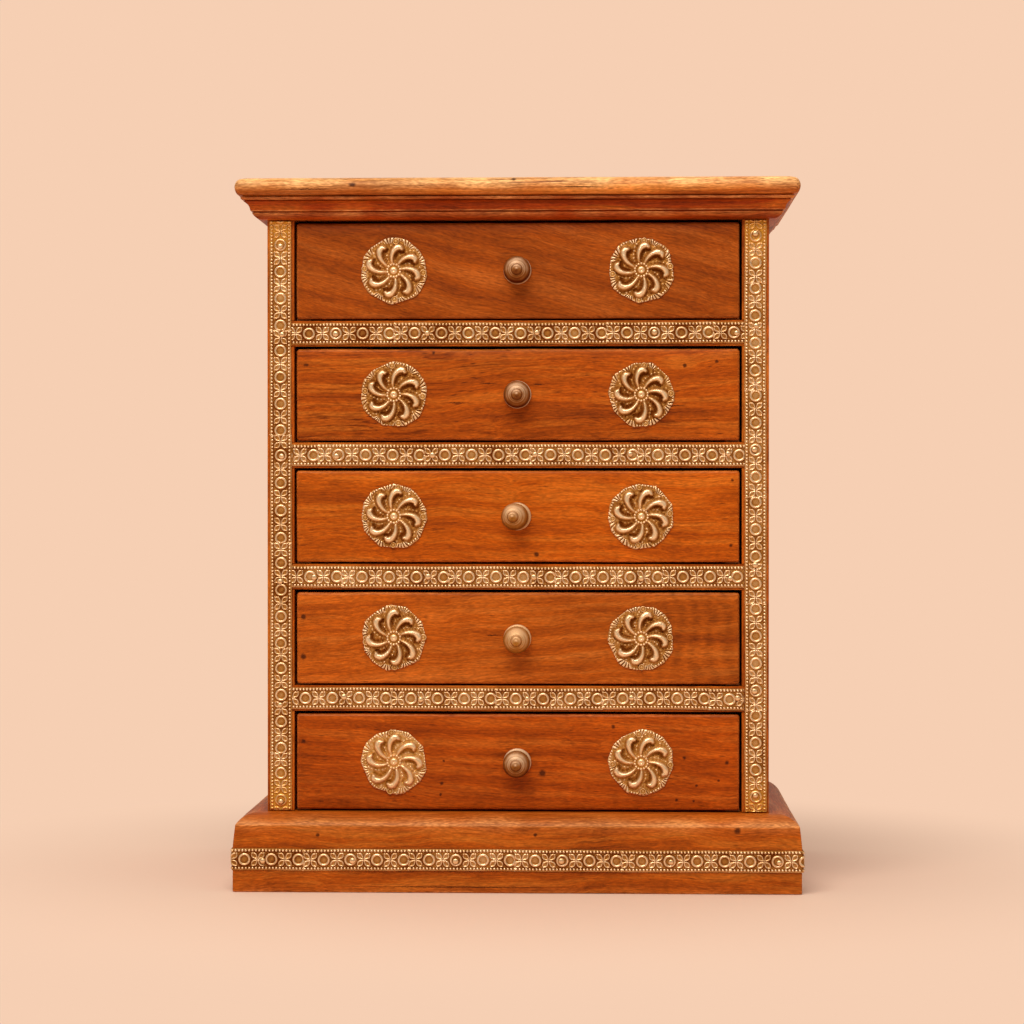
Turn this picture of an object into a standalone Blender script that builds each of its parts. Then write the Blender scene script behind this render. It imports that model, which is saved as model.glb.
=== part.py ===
"""Small five-drawer chest: teak carcass and drawers, brass strips, rosettes and knobs.

Metres, +X right, +Y back, +Z up. The origin is on the floor, under the middle of the overall box.
"""

import math

import bmesh
import bpy
from mathutils import Matrix, Vector

# Gaps
FIT = 0.0003  # between pieces that are glued, pinned or rest on each other
DRAWER_SIDE_GAP = 0.0014  # drawer to post, each side
DRAWER_TOP_GAP = 0.0017  # drawer front to the rail above
DRAWER_FOOT_GAP = 0.0012  # drawer front to the rail below
DRAWER_STOP_GAP = 0.0012  # closed drawer to the back panel
OVERCUT = 0.002  # how far cutters pass the face they cut

# Cabinet
CABINET_WIDTH = 0.290
CABINET_DEPTH = 0.182
SIDE_THICKNESS = 0.0155
DIVIDER_THICKNESS = 0.0147
BOTTOM_THICKNESS = 0.012
HOUSING_DEPTH = 0.004  # how far the shelves enter the sides
BACK_THICKNESS = 0.006
BACK_REBATE = 0.007  # how far the back panel enters each side
MIDDLE_DRAWERS = 3
MIDDLE_BAY = 0.0557  # height between rails, middle drawers
END_BAY = 0.0582  # the same, top and bottom drawers

# Plinth, cornice and lid, measured outwards from the cabinet's front and sides
PLINTH_HEIGHT = 0.0446
PLINTH_OUT = 0.018
PLINTH_LEAN = 0.0012  # how far the upper face leans in
PLINTH_STRAIGHT = 0.027  # height of the upright part of the face
PLINTH_ROUND_WIDTH = 0.0115
PLINTH_ROUND_DROP = 0.0062
CORNICE_HEIGHT = 0.0131
CORNICE_FOOT = 0.0023
CORNICE_OVOLO_OUT = 0.0080
CORNICE_OVOLO_RISE = 0.0038
CORNICE_OVOLO_BULGE = 0.00095
CORNICE_QUIRK = 0.0008  # width and depth of the shadow grooves above the ovolo and under the bead
CORNICE_COVE_OUT = 0.0035
CORNICE_COVE_RISE = 0.0053
CORNICE_COVE_HOLLOW = 0.00075
CORNICE_BEAD_OUT = 0.0005  # top of the bead beyond its foot
CORNICE_BEAD_BULGE = 0.0007
LID_THICKNESS = 0.010
LID_OUT = 0.0172
LID_NOSE_TOP = 0.0046  # how far back the nose starts on the top face
LID_NOSE_FOOT = 0.0028  # and on the lower face
LID_CORNER = 0.003  # plan radius of the front corners
LID_CORNER_STEPS = 3

# Share of the nose's setback and of the lid's thickness, from the lower face up
LID_FOOT_SHARES = ((1.0, 0.0), (0.4, 0.10), (0.0, 0.36))
LID_TOP_SHARES = ((0.0, 0.56), (0.22, 0.78), (0.52, 0.93), (1.0, 1.0))

# Drawers
FRONT_THICKNESS = 0.012
FRONT_CORNER = 0.002
FRONT_EASE = 0.0014
DRAWER_SIDE = 0.008  # thickness of sides and back
SIDE_LAP = 0.008  # depth of the rebates that take the sides
SIDE_DROP = 0.0035  # side's top edge below the rail above
BACK_DROP = 0.003  # back's top edge below the sides
BOTTOM_PANEL = 0.004
GROOVE_DEPTH = 0.004
GROOVE_RISE = 0.005  # panel groove above the lower edge

# Brass
STRIP_WIDTH = 0.0124
STRIP_SHEET = 0.0006
STRIP_RIDGE_WIDTH = 0.0018
STRIP_RIDGE_RISE = 0.0006
STRIP_RIDGE_CROWN = 0.4  # share of the ridge's width that is flat
STRIP_END_GAP = 0.0008
PLINTH_STRIP_LEVEL = 0.0188
PLINTH_STRIP_RETURN = 0.013  # length folded along each side
KNOB_LENGTH = 0.0170
KNOB_FLANGE_RADIUS = 0.0083
KNOB_RADIUS = 0.0076
KNOB_NECK_RADIUS = 0.0048
KNOB_NUB_RADIUS = 0.0034
KNOB_SHANK_RADIUS = 0.002
KNOB_SHANK_LENGTH = 0.009
KNOB_FACETS = 20
ROSETTE_RADIUS = 0.0193
ROSETTE_RISE = 0.0036
ROSETTE_INSET = 0.0566  # from the end of the drawer front to the middle of the rosette
ROSETTE_ARMS = 8
ROSETTE_SWIRL = 0.75  # radians from boss to tip, clockwise seen from the front
BOSS_SHARE = 0.2  # share of the radius at which the arms start to turn
SWIRL_POWER = 1.5  # they turn more the further out they are

# Share of radius, field height, arm height and how far the arm is hooked, from the rim to the boss
ROSETTE_SHARES = (
    (1.00, 0.22, 0.00, 0.0),
    (0.92, 0.20, 0.00, 0.0),
    (0.85, 0.22, 0.36, 1.0),
    (0.77, 0.26, 0.60, 1.0),
    (0.66, 0.30, 0.64, 0.2),
    (0.46, 0.32, 0.50, 0.0),
    (0.27, 0.34, 0.22, 0.0),
    (0.21, 0.34, 0.00, 0.0),
    (0.18, 1.00, 0.00, 0.0),
)
# Height of an arm's ridge, trailing flank, hollow and leading flank, along the arm and at its hooked head
ARM_SHARES = (1.0, 0.55, 0.0, 0.1)
HOOK_SHARES = (1.0, 0.45, 0.0, 0.9)

# Share of the knob's length and of the flange, neck, dome or nub radius, from the seat out
FLANGE_SHARES = ((0.0, 1.0), (0.07, 1.0), (0.11, 0.86))
NECK_SHARES = ((0.18, 1.08), (0.25, 1.0))
DOME_SHARES = ((0.31, 0.79), (0.39, 0.97), (0.46, 1.0), (0.56, 0.98), (0.66, 0.87), (0.76, 0.67), (0.81, 0.5))
NUB_SHARES = ((0.81, 1.0), (0.91, 0.94), (0.95, 0.7), (1.0, 0.2))

TEAK = (0.30, 0.075, 0.016, 1.0)
PALE_TEAK = (0.46, 0.17, 0.045, 1.0)
DRAWER_WOOD = (0.38, 0.17, 0.07, 1.0)
BRASS = (0.60, 0.38, 0.14, 1.0)

# Levels and planes that follow from the sizes above
BAYS = [END_BAY] + [MIDDLE_BAY] * MIDDLE_DRAWERS + [END_BAY]  # from the plinth up
FLOORS = [PLINTH_HEIGHT + sum(BAYS[:i]) + DIVIDER_THICKNESS * i for i in range(len(BAYS))]
CORNICE_LEVEL = FLOORS[-1] + BAYS[-1]
LID_LEVEL = CORNICE_LEVEL + CORNICE_HEIGHT
FRONT_REACH = max(PLINTH_OUT + FIT + STRIP_SHEET + STRIP_RIDGE_RISE, KNOB_LENGTH + FIT, LID_OUT)
FRONT = FRONT_REACH - (CABINET_DEPTH + FRONT_REACH) / 2
BACK = FRONT + CABINET_DEPTH
HALF_WIDTH = CABINET_WIDTH / 2
HALF_OPENING = HALF_WIDTH - SIDE_THICKNESS
PANEL_FACE = BACK - BACK_THICKNESS
DRAWER_HALF = HALF_OPENING - DRAWER_SIDE_GAP
DRAWER_LENGTH = PANEL_FACE - DRAWER_STOP_GAP - FRONT
POST_MIDDLE = HALF_WIDTH - SIDE_THICKNESS / 2


def clear_scene():
    for thing in list(bpy.data.objects):
        bpy.data.objects.remove(thing, do_unlink=True)


def add_object(name, mesh, colour, at=(0, 0, 0), parent=None):
    """One node: a mesh with its own material, placed at a point in its parent's frame."""
    material = bpy.data.materials.new(name)
    material.use_nodes = True
    shader = material.node_tree.nodes["Principled BSDF"]
    shader.inputs["Base Color"].default_value = colour
    shader.inputs["Metallic"].default_value = 1.0 if colour == BRASS else 0.0
    shader.inputs["Roughness"].default_value = 0.35 if colour == BRASS else 0.45
    mesh.materials.append(material)
    thing = bpy.data.objects.new(name, mesh)
    thing.location = at
    thing.parent = parent
    bpy.context.scene.collection.objects.link(thing)
    return thing


def add_empty(name, at):
    thing = bpy.data.objects.new(name, None)
    thing.location = at
    bpy.context.scene.collection.objects.link(thing)
    return thing


def finish_mesh(name, bm):
    bmesh.ops.recalc_face_normals(bm, faces=bm.faces[:])
    mesh = bpy.data.meshes.new(name)
    bm.to_mesh(mesh)
    bm.free()
    return mesh


def loft(name, loops):
    """Closed skin through loops of equal length, with a flat cap on the first and the last."""
    bm = bmesh.new()
    rows = [[bm.verts.new(point) for point in loop] for loop in loops]
    count = len(rows[0])
    for low, high in zip(rows, rows[1:]):
        for i in range(count):
            j = (i + 1) % count
            bm.faces.new((low[i], low[j], high[j], high[i]))
    bm.faces.new(rows[0])
    bm.faces.new(rows[-1])
    return finish_mesh(name, bm)


def add_box(bm, low, high):
    size = Vector(high) - Vector(low)
    place = Matrix.Translation((Vector(low) + Vector(high)) / 2) @ Matrix.Diagonal((*size, 1.0))
    return bmesh.ops.create_cube(bm, size=1.0, matrix=place)["verts"]


def boxes(name, *corners):
    """Mesh of separate boxes, each from its low to its high corner."""
    bm = bmesh.new()
    for low, high in corners:
        add_box(bm, low, high)
    return finish_mesh(name, bm)


def bulge(start, end, rise, steps=5):
    """Arc points from start to end, bowing by rise to the right of the way, or to the left below zero."""
    start, end = Vector(start), Vector(end)
    across = (end - start) / 2
    normal = Vector((across.y, -across.x)).normalized() * math.copysign(1.0, rise)
    rise = abs(rise)
    radius = (across.length_squared + rise * rise) / (2 * rise)
    middle = start + across + normal * (rise - radius)
    swing = math.atan2(across.length, radius - rise)
    along = across.normalized()
    angles = [swing * (2 * i / steps - 1) for i in range(steps + 1)]
    return [middle + radius * (along * math.sin(a) + normal * math.cos(a)) for a in angles]


def mitred_run(name, profile, end):
    """Moulding round the cabinet's front and sides; profile points are distance out and height."""
    turns = ((-1, False), (-1, True), (1, True), (1, False))
    return loft(name, [
        [(side * (HALF_WIDTH + out), FRONT - out if corner else end, level) for out, level in profile]
        for side, corner in turns
    ])


def cut(target, name, mesh, at=(0, 0, 0), parent=None):
    """Takes a hidden cutter's shape out of the target."""
    cutter = bpy.data.objects.new(name, mesh)
    cutter.location = at
    cutter.parent = parent
    cutter.hide_render = True
    cutter.display_type = "WIRE"
    bpy.context.scene.collection.objects.link(cutter)
    step = target.modifiers.new(name, "BOOLEAN")
    step.operation = "DIFFERENCE"
    step.solver = "EXACT"
    step.object = cutter


def cylinder(name, radius, near, far, facets=KNOB_FACETS):
    """Cylinder along Y from near to far."""
    ring = [2 * math.pi * i / facets for i in range(facets)]
    return loft(name, [[(radius * math.cos(a), y, radius * math.sin(a)) for a in ring] for y in (near, far)])


def shelf_levels():
    """Name, underside and top of each board that is housed in the sides."""
    levels = [("carcass_bottom", PLINTH_HEIGHT - BOTTOM_THICKNESS, PLINTH_HEIGHT)]
    for i, floor in enumerate(FLOORS[1:]):
        levels.append((f"divider_{len(FLOORS) - 1 - i}", floor - DIVIDER_THICKNESS, floor))
    levels.append(("carcass_top", CORNICE_LEVEL, LID_LEVEL - FIT))
    return levels


def build_carcass(root):
    reach = HALF_OPENING + HOUSING_DEPTH
    for name, low, high in shelf_levels():
        shelf = boxes(name, ((FIT - reach, FRONT, low), (reach - FIT, PANEL_FACE - FIT, high)))
        add_object(name, shelf, TEAK, parent=root)

    for name, side in (("left_side", -1), ("right_side", 1)):
        inner, outer = sorted((side * HALF_OPENING, side * HALF_WIDTH))
        board = boxes(name, ((inner, FRONT, 0), (outer, BACK, LID_LEVEL - FIT)))
        thing = add_object(name, board, TEAK, parent=root)
        near, far = sorted((side * (HALF_OPENING - OVERCUT), side * reach))
        housings = [
            ((near, FRONT - OVERCUT, low - FIT), (far, BACK + OVERCUT, high + FIT))
            for _, low, high in shelf_levels()
        ]
        cut(thing, f"{name}_housings", boxes("housings", *housings), parent=root)
        near, far = sorted((side * (HALF_OPENING - OVERCUT), side * (HALF_OPENING + BACK_REBATE)))
        rebate = ((near, PANEL_FACE - FIT, -OVERCUT), (far, BACK + OVERCUT, LID_LEVEL + OVERCUT))
        cut(thing, f"{name}_rebate", boxes("rebate", rebate), parent=root)

    reach = HALF_OPENING + BACK_REBATE - FIT
    panel = boxes("back_panel", ((-reach, PANEL_FACE, 0), (reach, BACK, LID_LEVEL - FIT)))
    add_object("back_panel", panel, TEAK, parent=root)


def build_mouldings(root):
    face = PLINTH_OUT - PLINTH_LEAN
    plinth = [(FIT, PLINTH_HEIGHT), (FIT, 0), (PLINTH_OUT, 0), (PLINTH_OUT, PLINTH_STRAIGHT)]
    half_chord = math.hypot(PLINTH_ROUND_WIDTH, PLINTH_ROUND_DROP) / 2
    slope = math.atan2(PLINTH_ROUND_DROP, PLINTH_ROUND_WIDTH)
    plinth += bulge(
        (face, PLINTH_HEIGHT - PLINTH_ROUND_DROP),
        (face - PLINTH_ROUND_WIDTH, PLINTH_HEIGHT),
        half_chord * math.tan(slope / 2),
    )
    add_object("plinth", mitred_run("plinth", plinth, BACK), TEAK, parent=root)

    cornice = mitred_run("cornice", cornice_section(), BACK)
    add_object("cornice", cornice, TEAK, parent=root)

    nose = [(LID_NOSE_FOOT * back, rise) for back, rise in LID_FOOT_SHARES]
    nose += [(LID_NOSE_TOP * back, rise) for back, rise in LID_TOP_SHARES]
    loops = [lid_outline(LID_OUT - back, LID_LEVEL + LID_THICKNESS * rise) for back, rise in nose]
    add_object("lid", loft("lid", loops), PALE_TEAK, parent=root)


def cornice_section():
    """Ovolo, shadow groove, tall cove, groove and bead, from the cabinet out to the lid."""
    top = LID_LEVEL - FIT
    ovolo = CORNICE_LEVEL + CORNICE_OVOLO_RISE
    arris = ovolo + CORNICE_QUIRK
    cove = arris + CORNICE_COVE_RISE
    bead = cove + CORNICE_QUIRK
    arris_out = CORNICE_OVOLO_OUT + CORNICE_QUIRK
    cove_out = arris_out + CORNICE_COVE_OUT
    bead_out = cove_out + CORNICE_BEAD_OUT
    section = [(FIT, top), (FIT, CORNICE_LEVEL)]
    section += bulge((CORNICE_FOOT, CORNICE_LEVEL), (CORNICE_OVOLO_OUT, ovolo), CORNICE_OVOLO_BULGE, 4)
    section += [(CORNICE_OVOLO_OUT - CORNICE_QUIRK, level) for level in (ovolo, arris)]
    section += bulge((arris_out, arris), (cove_out, cove), -CORNICE_COVE_HOLLOW, 4)
    section += [(cove_out - CORNICE_QUIRK, level) for level in (cove, bead)]
    section += bulge((bead_out, bead), (bead_out + CORNICE_BEAD_OUT, top), CORNICE_BEAD_BULGE, 4)
    return section


def lid_outline(out, level):
    """Lid in plan at one level: square at the back, rounded at both front corners."""
    half, front = HALF_WIDTH + out - LID_CORNER, FRONT - out + LID_CORNER
    points = [(half + LID_CORNER, BACK, level), (-half - LID_CORNER, BACK, level)]
    for side, turn in ((-1, math.pi), (1, 1.5 * math.pi)):
        for i in range(LID_CORNER_STEPS + 1):
            angle = turn + math.pi / 2 * i / LID_CORNER_STEPS
            x = side * half + LID_CORNER * math.cos(angle)
            points.append((x, front + LID_CORNER * math.sin(angle), level))
    return points


def strip_section():
    """Pressed strip across its width: distance from the middle and height off its seat."""
    edge = STRIP_WIDTH / 2
    inner = edge - STRIP_RIDGE_WIDTH
    flank = STRIP_RIDGE_WIDTH * (1 - STRIP_RIDGE_CROWN) / 2
    high = STRIP_SHEET + STRIP_RIDGE_RISE
    half = [(edge, 0), (edge, STRIP_SHEET), (edge - flank, high), (inner + flank, high), (inner, STRIP_SHEET)]
    return half + [(-across, rise) for across, rise in reversed(half)]


def build_strips(root):
    section = strip_section()
    low, high = PLINTH_HEIGHT + STRIP_END_GAP, CORNICE_LEVEL - STRIP_END_GAP
    for name, side in (("left_post_strip", -1), ("right_post_strip", 1)):
        loops = [[(side * POST_MIDDLE + x, FRONT - FIT - y, z) for x, y in section] for z in (low, high)]
        add_object(name, loft(name, loops), BRASS, parent=root)

    reach = POST_MIDDLE - STRIP_WIDTH / 2 - FIT
    for i, floor in enumerate(FLOORS[1:]):
        name = f"rail_strip_{len(FLOORS) - 1 - i}"
        middle = floor - DIVIDER_THICKNESS / 2
        loops = [[(x, FRONT - FIT - y, middle + z) for z, y in section] for x in (-reach, reach)]
        add_object(name, loft(name, loops), BRASS, parent=root)

    seat = PLINTH_OUT + FIT
    profile = [(seat + rise, PLINTH_STRIP_LEVEL + across) for across, rise in section]
    band = mitred_run("plinth_strip", profile, FRONT - PLINTH_OUT + PLINTH_STRIP_RETURN)
    add_object("plinth_strip", band, BRASS, parent=root)


def front_mesh(name, height):
    """Drawer front with rounded corners and an eased front edge; its lower edge is at zero."""
    bm = bmesh.new()
    add_box(bm, (-DRAWER_HALF, 0, 0), (DRAWER_HALF, FRONT_THICKNESS, height))
    along = [e for e in bm.edges if abs(e.verts[0].co.y - e.verts[1].co.y) > FRONT_THICKNESS / 2]
    bmesh.ops.bevel(bm, geom=along, offset=FRONT_CORNER, segments=3, profile=0.5, affect="EDGES")
    rim = [e for e in bm.edges if all(v.co.y < FRONT_THICKNESS / 100 for v in e.verts)]
    bmesh.ops.bevel(bm, geom=rim, offset=FRONT_EASE, segments=2, profile=0.5, affect="EDGES")
    return finish_mesh(name, bm)


def knob_mesh():
    """Turned knob and its shank, along Y with the flange's seat at zero."""
    profile = [(-KNOB_SHANK_LENGTH, KNOB_SHANK_RADIUS), (0, KNOB_SHANK_RADIUS)]
    for radius, shares in (
        (KNOB_FLANGE_RADIUS, FLANGE_SHARES),
        (KNOB_NECK_RADIUS, NECK_SHARES),
        (KNOB_RADIUS, DOME_SHARES),
        (KNOB_NUB_RADIUS, NUB_SHARES),
    ):
        profile += [(KNOB_LENGTH * share, radius * width) for share, width in shares]
    ring = [2 * math.pi * i / KNOB_FACETS for i in range(KNOB_FACETS)]
    return loft("knob", [[(r * math.cos(a), -out, r * math.sin(a)) for a in ring] for out, r in profile])


def rosette_mesh():
    """Stamped pinwheel: arms follow the loops' twist, so each ridge runs along one line of points."""
    count = ROSETTE_ARMS * len(ARM_SHARES)

    def ring(share, field, arm, hook):
        loop = []
        for i in range(count):
            angle = 2 * math.pi * i / count - ROSETTE_SWIRL * max(0.0, share - BOSS_SHARE) ** SWIRL_POWER
            plain, hooked = ARM_SHARES[i % len(ARM_SHARES)], HOOK_SHARES[i % len(ARM_SHARES)]
            rise = ROSETTE_RISE * (field + arm * (plain + hook * (hooked - plain)))
            radius = ROSETTE_RADIUS * share
            loop.append((radius * math.cos(angle), -rise, radius * math.sin(angle)))
        return loop

    return loft("rosette", [ring(1.0, 0, 0, 0)] + [ring(*row) for row in ROSETTE_SHARES])


def build_drawer(number, bay, floor):
    """One drawer under its own empty, which sits on the front plane at the bay's floor."""
    name = f"drawer_{number}"
    slide = add_empty(f"{name}_slide", (0, FRONT, floor))
    height = bay - DRAWER_TOP_GAP - DRAWER_FOOT_GAP
    middle = DRAWER_FOOT_GAP + height / 2
    groove = FIT + GROOVE_RISE
    panel_top = groove + FIT + BOTTOM_PANEL
    inside = DRAWER_HALF - DRAWER_SIDE
    side_top = bay - SIDE_DROP

    front = add_object(f"{name}_front", front_mesh("front", height), TEAK, (0, 0, DRAWER_FOOT_GAP), slide)
    lap = FRONT_THICKNESS - SIDE_LAP
    far, high = FRONT_THICKNESS + OVERCUT, bay + OVERCUT
    rebates = boxes(
        "rebates",
        ((-DRAWER_HALF - OVERCUT, lap, -OVERCUT), (FIT - inside, far, high)),
        ((inside - FIT, lap, -OVERCUT), (DRAWER_HALF + OVERCUT, far, high)),
    )
    cut(front, f"{name}_rebates", rebates, parent=slide)
    reach = DRAWER_HALF + 2 * OVERCUT
    slot = boxes(
        "slot",
        ((-reach, FRONT_THICKNESS - GROOVE_DEPTH, groove), (reach, far, panel_top + FIT)),
    )
    cut(front, f"{name}_slot", slot, parent=slide)
    hole = cylinder("hole", KNOB_SHANK_RADIUS + FIT, -OVERCUT, KNOB_SHANK_LENGTH)
    cut(front, f"{name}_hole", hole, (0, 0, middle), slide)

    for label, side in (("left", -1), ("right", 1)):
        section = [(inside, FIT), (DRAWER_HALF, FIT), (DRAWER_HALF, side_top), (inside, side_top)]
        deep = inside + GROOVE_DEPTH
        section += [(inside, panel_top + FIT), (deep, panel_top + FIT), (deep, groove), (inside, groove)]
        loops = [[(side * x, y, z) for x, z in section] for y in (lap + FIT, DRAWER_LENGTH)]
        add_object(f"{name}_{label}_side", loft("side", loops), DRAWER_WOOD, parent=slide)

    across = inside - FIT
    near, high = DRAWER_LENGTH - DRAWER_SIDE, side_top - BACK_DROP
    board = boxes("board", ((-across, near, panel_top + FIT), (across, DRAWER_LENGTH, high)))
    add_object(f"{name}_back", board, DRAWER_WOOD, parent=slide)
    across = inside + GROOVE_DEPTH - FIT
    panel = boxes(
        "panel",
        ((-across, FRONT_THICKNESS - GROOVE_DEPTH + FIT, groove + FIT), (across, DRAWER_LENGTH, panel_top)),
    )
    add_object(f"{name}_bottom", panel, DRAWER_WOOD, parent=slide)

    add_object(f"{name}_knob", knob_mesh(), BRASS, (0, -FIT, middle), slide)
    for label, side in (("left", -1), ("right", 1)):
        place = (side * (DRAWER_HALF - ROSETTE_INSET), -FIT, middle)
        add_object(f"{name}_{label}_rosette", rosette_mesh(), BRASS, place, slide)


def build():
    clear_scene()
    carcass = add_empty("carcass", (0, 0, 0))
    build_carcass(carcass)
    build_mouldings(carcass)
    build_strips(carcass)
    for i, (bay, floor) in enumerate(zip(BAYS, FLOORS)):
        build_drawer(len(BAYS) - i, bay, floor)


build()
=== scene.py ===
"""Looks of a five-drawer chest: oiled teak with pressed brass strips, rosettes, pins and turned knobs.

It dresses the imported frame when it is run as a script. Metres, +X right, +Y back, +Z up.
"""

import functools
import itertools
import math

import bpy
import numpy as np
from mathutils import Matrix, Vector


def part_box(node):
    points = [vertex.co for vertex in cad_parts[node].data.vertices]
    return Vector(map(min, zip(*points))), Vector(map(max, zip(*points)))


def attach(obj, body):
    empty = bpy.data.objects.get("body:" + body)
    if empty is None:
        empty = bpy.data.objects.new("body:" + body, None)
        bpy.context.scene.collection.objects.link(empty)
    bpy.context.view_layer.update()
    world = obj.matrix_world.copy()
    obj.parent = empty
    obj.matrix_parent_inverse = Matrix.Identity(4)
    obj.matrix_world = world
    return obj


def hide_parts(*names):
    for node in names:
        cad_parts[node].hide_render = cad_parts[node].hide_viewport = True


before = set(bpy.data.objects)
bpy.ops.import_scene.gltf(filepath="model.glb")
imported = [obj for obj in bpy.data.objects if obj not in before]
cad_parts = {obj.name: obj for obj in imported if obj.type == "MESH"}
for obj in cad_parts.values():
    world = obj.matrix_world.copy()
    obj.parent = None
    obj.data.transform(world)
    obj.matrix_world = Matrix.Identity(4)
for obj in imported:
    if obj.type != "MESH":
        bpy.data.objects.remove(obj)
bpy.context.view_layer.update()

bl_info = {
    "name": "Five-drawer brass-mounted chest",
    "version": (1, 0, 0),
    "blender": (4, 5, 0),
    "location": "3D View > Sidebar > Chest",
    "description": "Dresses the frame of a teak chest with boards, mouldings and pressed brass",
    "category": "Add Mesh",
}

MM = 0.001
FULL_TURN = 2 * math.pi
DRAWERS = range(1, 6)  # 1 is the top drawer

# Planes of the cabinet and the thickness of the strips, taken from the frame
SIDE_LOW, SIDE_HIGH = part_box("right_side")
HALF_WIDTH, FRONT, BACK = SIDE_HIGH.x, SIDE_LOW.y, SIDE_HIGH.y
RAIL_LOW, RAIL_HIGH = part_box("rail_strip_1")
STRIP_THICK = RAIL_HIGH.y - RAIL_LOW.y

# Turns that bring a board's grain onto the pattern's own X
ALONG_X, ALONG_Y, ALONG_Z = (0.0, 0.0, 0.0), (0.0, 0.0, -math.pi / 2), (0.0, math.pi / 2, 0.0)

# Width in mm, times drawn out along the grain, detail and harshness of growth bands, fibres, flecks, dark
# lines and slow mottling. Fibres and flecks are finer than a pixel, so they are drawn 0.8 and 0.65 mm wide
GRAIN = ((6.0, 24, 5, 0.6), (0.8, 26, 2, 0.6), (0.65, 5, 1, 0.5), (1.5, 40, 3, 0.6), (28.0, 2.5, 3, 0.5))

# Tones of each drawer front (pale, main, dark), tilt of its grain in degrees, streaks and pores, brightness
# of its left and right ends, and its dark marks: place across and up, half-length and half-height, in mm
FRONTS = {
    1: (("#B05A1C", "#A04A0A", "#6E2A03"), -13, 0.3, 0.5, (0.94, 0.97), ()),
    2: (("#C46A1E", "#AE4F08", "#692601"), 2, 0.9, 0.8, (0.96, 0.97), (
        (-48.5, 310.3, 1.0, 1.0), (-122.4, 303.2, 1.6, 0.9), (96.5, 302.6, 1.3, 1.3),
        (114.9, 304.9, 1.0, 1.0), (-16.8, 292.4, 4.6, 0.4), (12.4, 291.8, 3.2, 0.35),
        (-34.0, 281.2, 7.5, 0.35), (88.0, 279.4, 9.0, 0.4))),
    3: (("#CD6E1C", "#B85506", "#7C2F02"), -1, 0.55, 0.6, (0.94, 1.04), (
        (11.0, 193.6, 1.5, 1.5), (124.0, 236.4, 0.9, 0.9), (123.0, 198.8, 1.0, 1.0))),
    4: (("#C46A22", "#AF530C", "#7C3204"), 3, 0.2, 0.45, (1.14, 0.89), (
        (-124.2, 157.2, 1.6, 1.6), (-124.2, 134.1, 1.7, 1.7), (-13.9, 146.8, 5.0, 0.4))),
    5: (("#BA5C16", "#A64704", "#6B2601"), -2, 0.5, 0.8, (1.0, 1.14), (
        (14.4, 67.0, 2.1, 2.1), (-124.2, 85.1, 1.3, 1.3), (-43.9, 60.9, 1.1, 1.1),
        (-44.5, 54.4, 0.9, 0.9), (55.4, 94.0, 1.2, 1.2), (96.5, 76.0, 1.1, 1.1),
        (121.0, 73.3, 1.2, 1.2), (103.4, 60.0, 0.9, 0.9), (116.0, 63.0, 0.8, 0.8),
        (91.8, 51.7, 1.0, 1.0), (101.7, 51.2, 0.8, 0.8), (-42.7, 74.0, 0.8, 0.8))),
}
PLINTH_MARKS = (
    (126.2, 36.3, 1.9, 1.9), (10.8, 33.4, 1.1, 1.1), (-114.0, 32.8, 1.2, 1.2), (-30.0, 3.4, 60.0, 0.35),
)
LID_MARKS = (
    (-94.2, 405.6, 2.2, 1.2), (-1.7, 408.6, 1.6, 0.9), (36.0, 404.0, 14.0, 0.35), (-120.0, 403.2, 16.0, 0.35),
)
FADE_HALF = 0.12  # from the middle to where an end's own brightness is reached
FACE_PITCH, REAR_PITCH = 0.006, 0.02  # between mesh points of a drawer front
RIPPLED_DRAWER = 4  # its right end has a curly figure
RIPPLE = 9.5  # mm from one ripple to the next
RIPPLE_START, RIPPLE_FULL = 78.0, 98.0  # mm to the right of the middle

# Nose of the top board in mm: distance out from its solid, and height. It goes on inwards along the flat top
NOSE = ((-2.8, 0.0), (-1.1, 0.9), (-0.1, 3.3), (0.0, 5.6), (-0.9, 7.9), (-2.4, 9.3), (-4.6, 10.0))
LID_FLAT = (-7.0, -10.0)
LID_CORNER = 0.003  # radius of its corners seen from above

# Steps round an arc of a moulding, and along its front and side lengths
ARC_STEPS, FRONT_STEPS, SIDE_STEPS = 8, 61, 37
MOULDING_BACK = 0.3  # mm from the cabinet to the hidden face of a moulding
PLINTH_TOP = 44.6  # mm
# On the plinth's arris and round this wear is also a painted highlight; at its foot it is wear only
PLINTH_WEAR_AND_HIGHLIGHT = (0.5, 1.0, 0.9)  # foot, arris, round

STRIP_BRASS = "pressed brass, tarnished and rubbed"
# Where one stamped length of strip laps the next and where it is pinned, in mm along the strip, and how far
# it is rubbed. Rails and plinth are measured from the middle, the left post down and the right post up
STRIPS = {
    "rail_strip_1": ((-71.3, -10.0, 51.4, 113.0), (-105.3, -52.1, 11.3, 79.1, 126.3), -0.10),
    "rail_strip_2": ((-115.5, -53.8, 7.3, 69.3), (-104.8, -49.2, 10.2, 65.1, 121.5), 0.0),
    "rail_strip_3": ((-101.9, -39.9, 21.8, 83.7), (-117.8, -51.7, 9.5, 71.4, 122.8), 0.03),
    "rail_strip_4": ((-73.4, -12.7, 49.0, 110.6), (-100.5, -56.0, 5.7, 65.8, 127.0), 0.03),
    "plinth_strip": ((-122.3, -61.8, -1.0, 60.0, 121.6), (-145.6, -93.9, -34.8, 25.7, 88.3, 149.9), -0.04),
    "left_post_strip": ((62.8, 123.5, 185.9, 246.9, 307.7), (14.2, 65.3, 135.8, 208.3, 280.0, 336.0), -0.02),
    "right_post_strip": ((57.9, 119.5, 181.0, 242.4, 304.3), (9.2, 69.4, 142.2, 208.6, 279.9, 333.0), 0.10),
}
SEGMENT = 61.3  # usual length of one stamped segment, in mm
FIRST_RING = 11.8  # from a segment's start to its first ring
LAST_GAP = 2.7  # from its last ring to the next segment
SEGMENT_RINGS = 4
BEADS_PER_RING = 8
LEAF_START = 0.6  # from a flower's middle to its leaves
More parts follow.
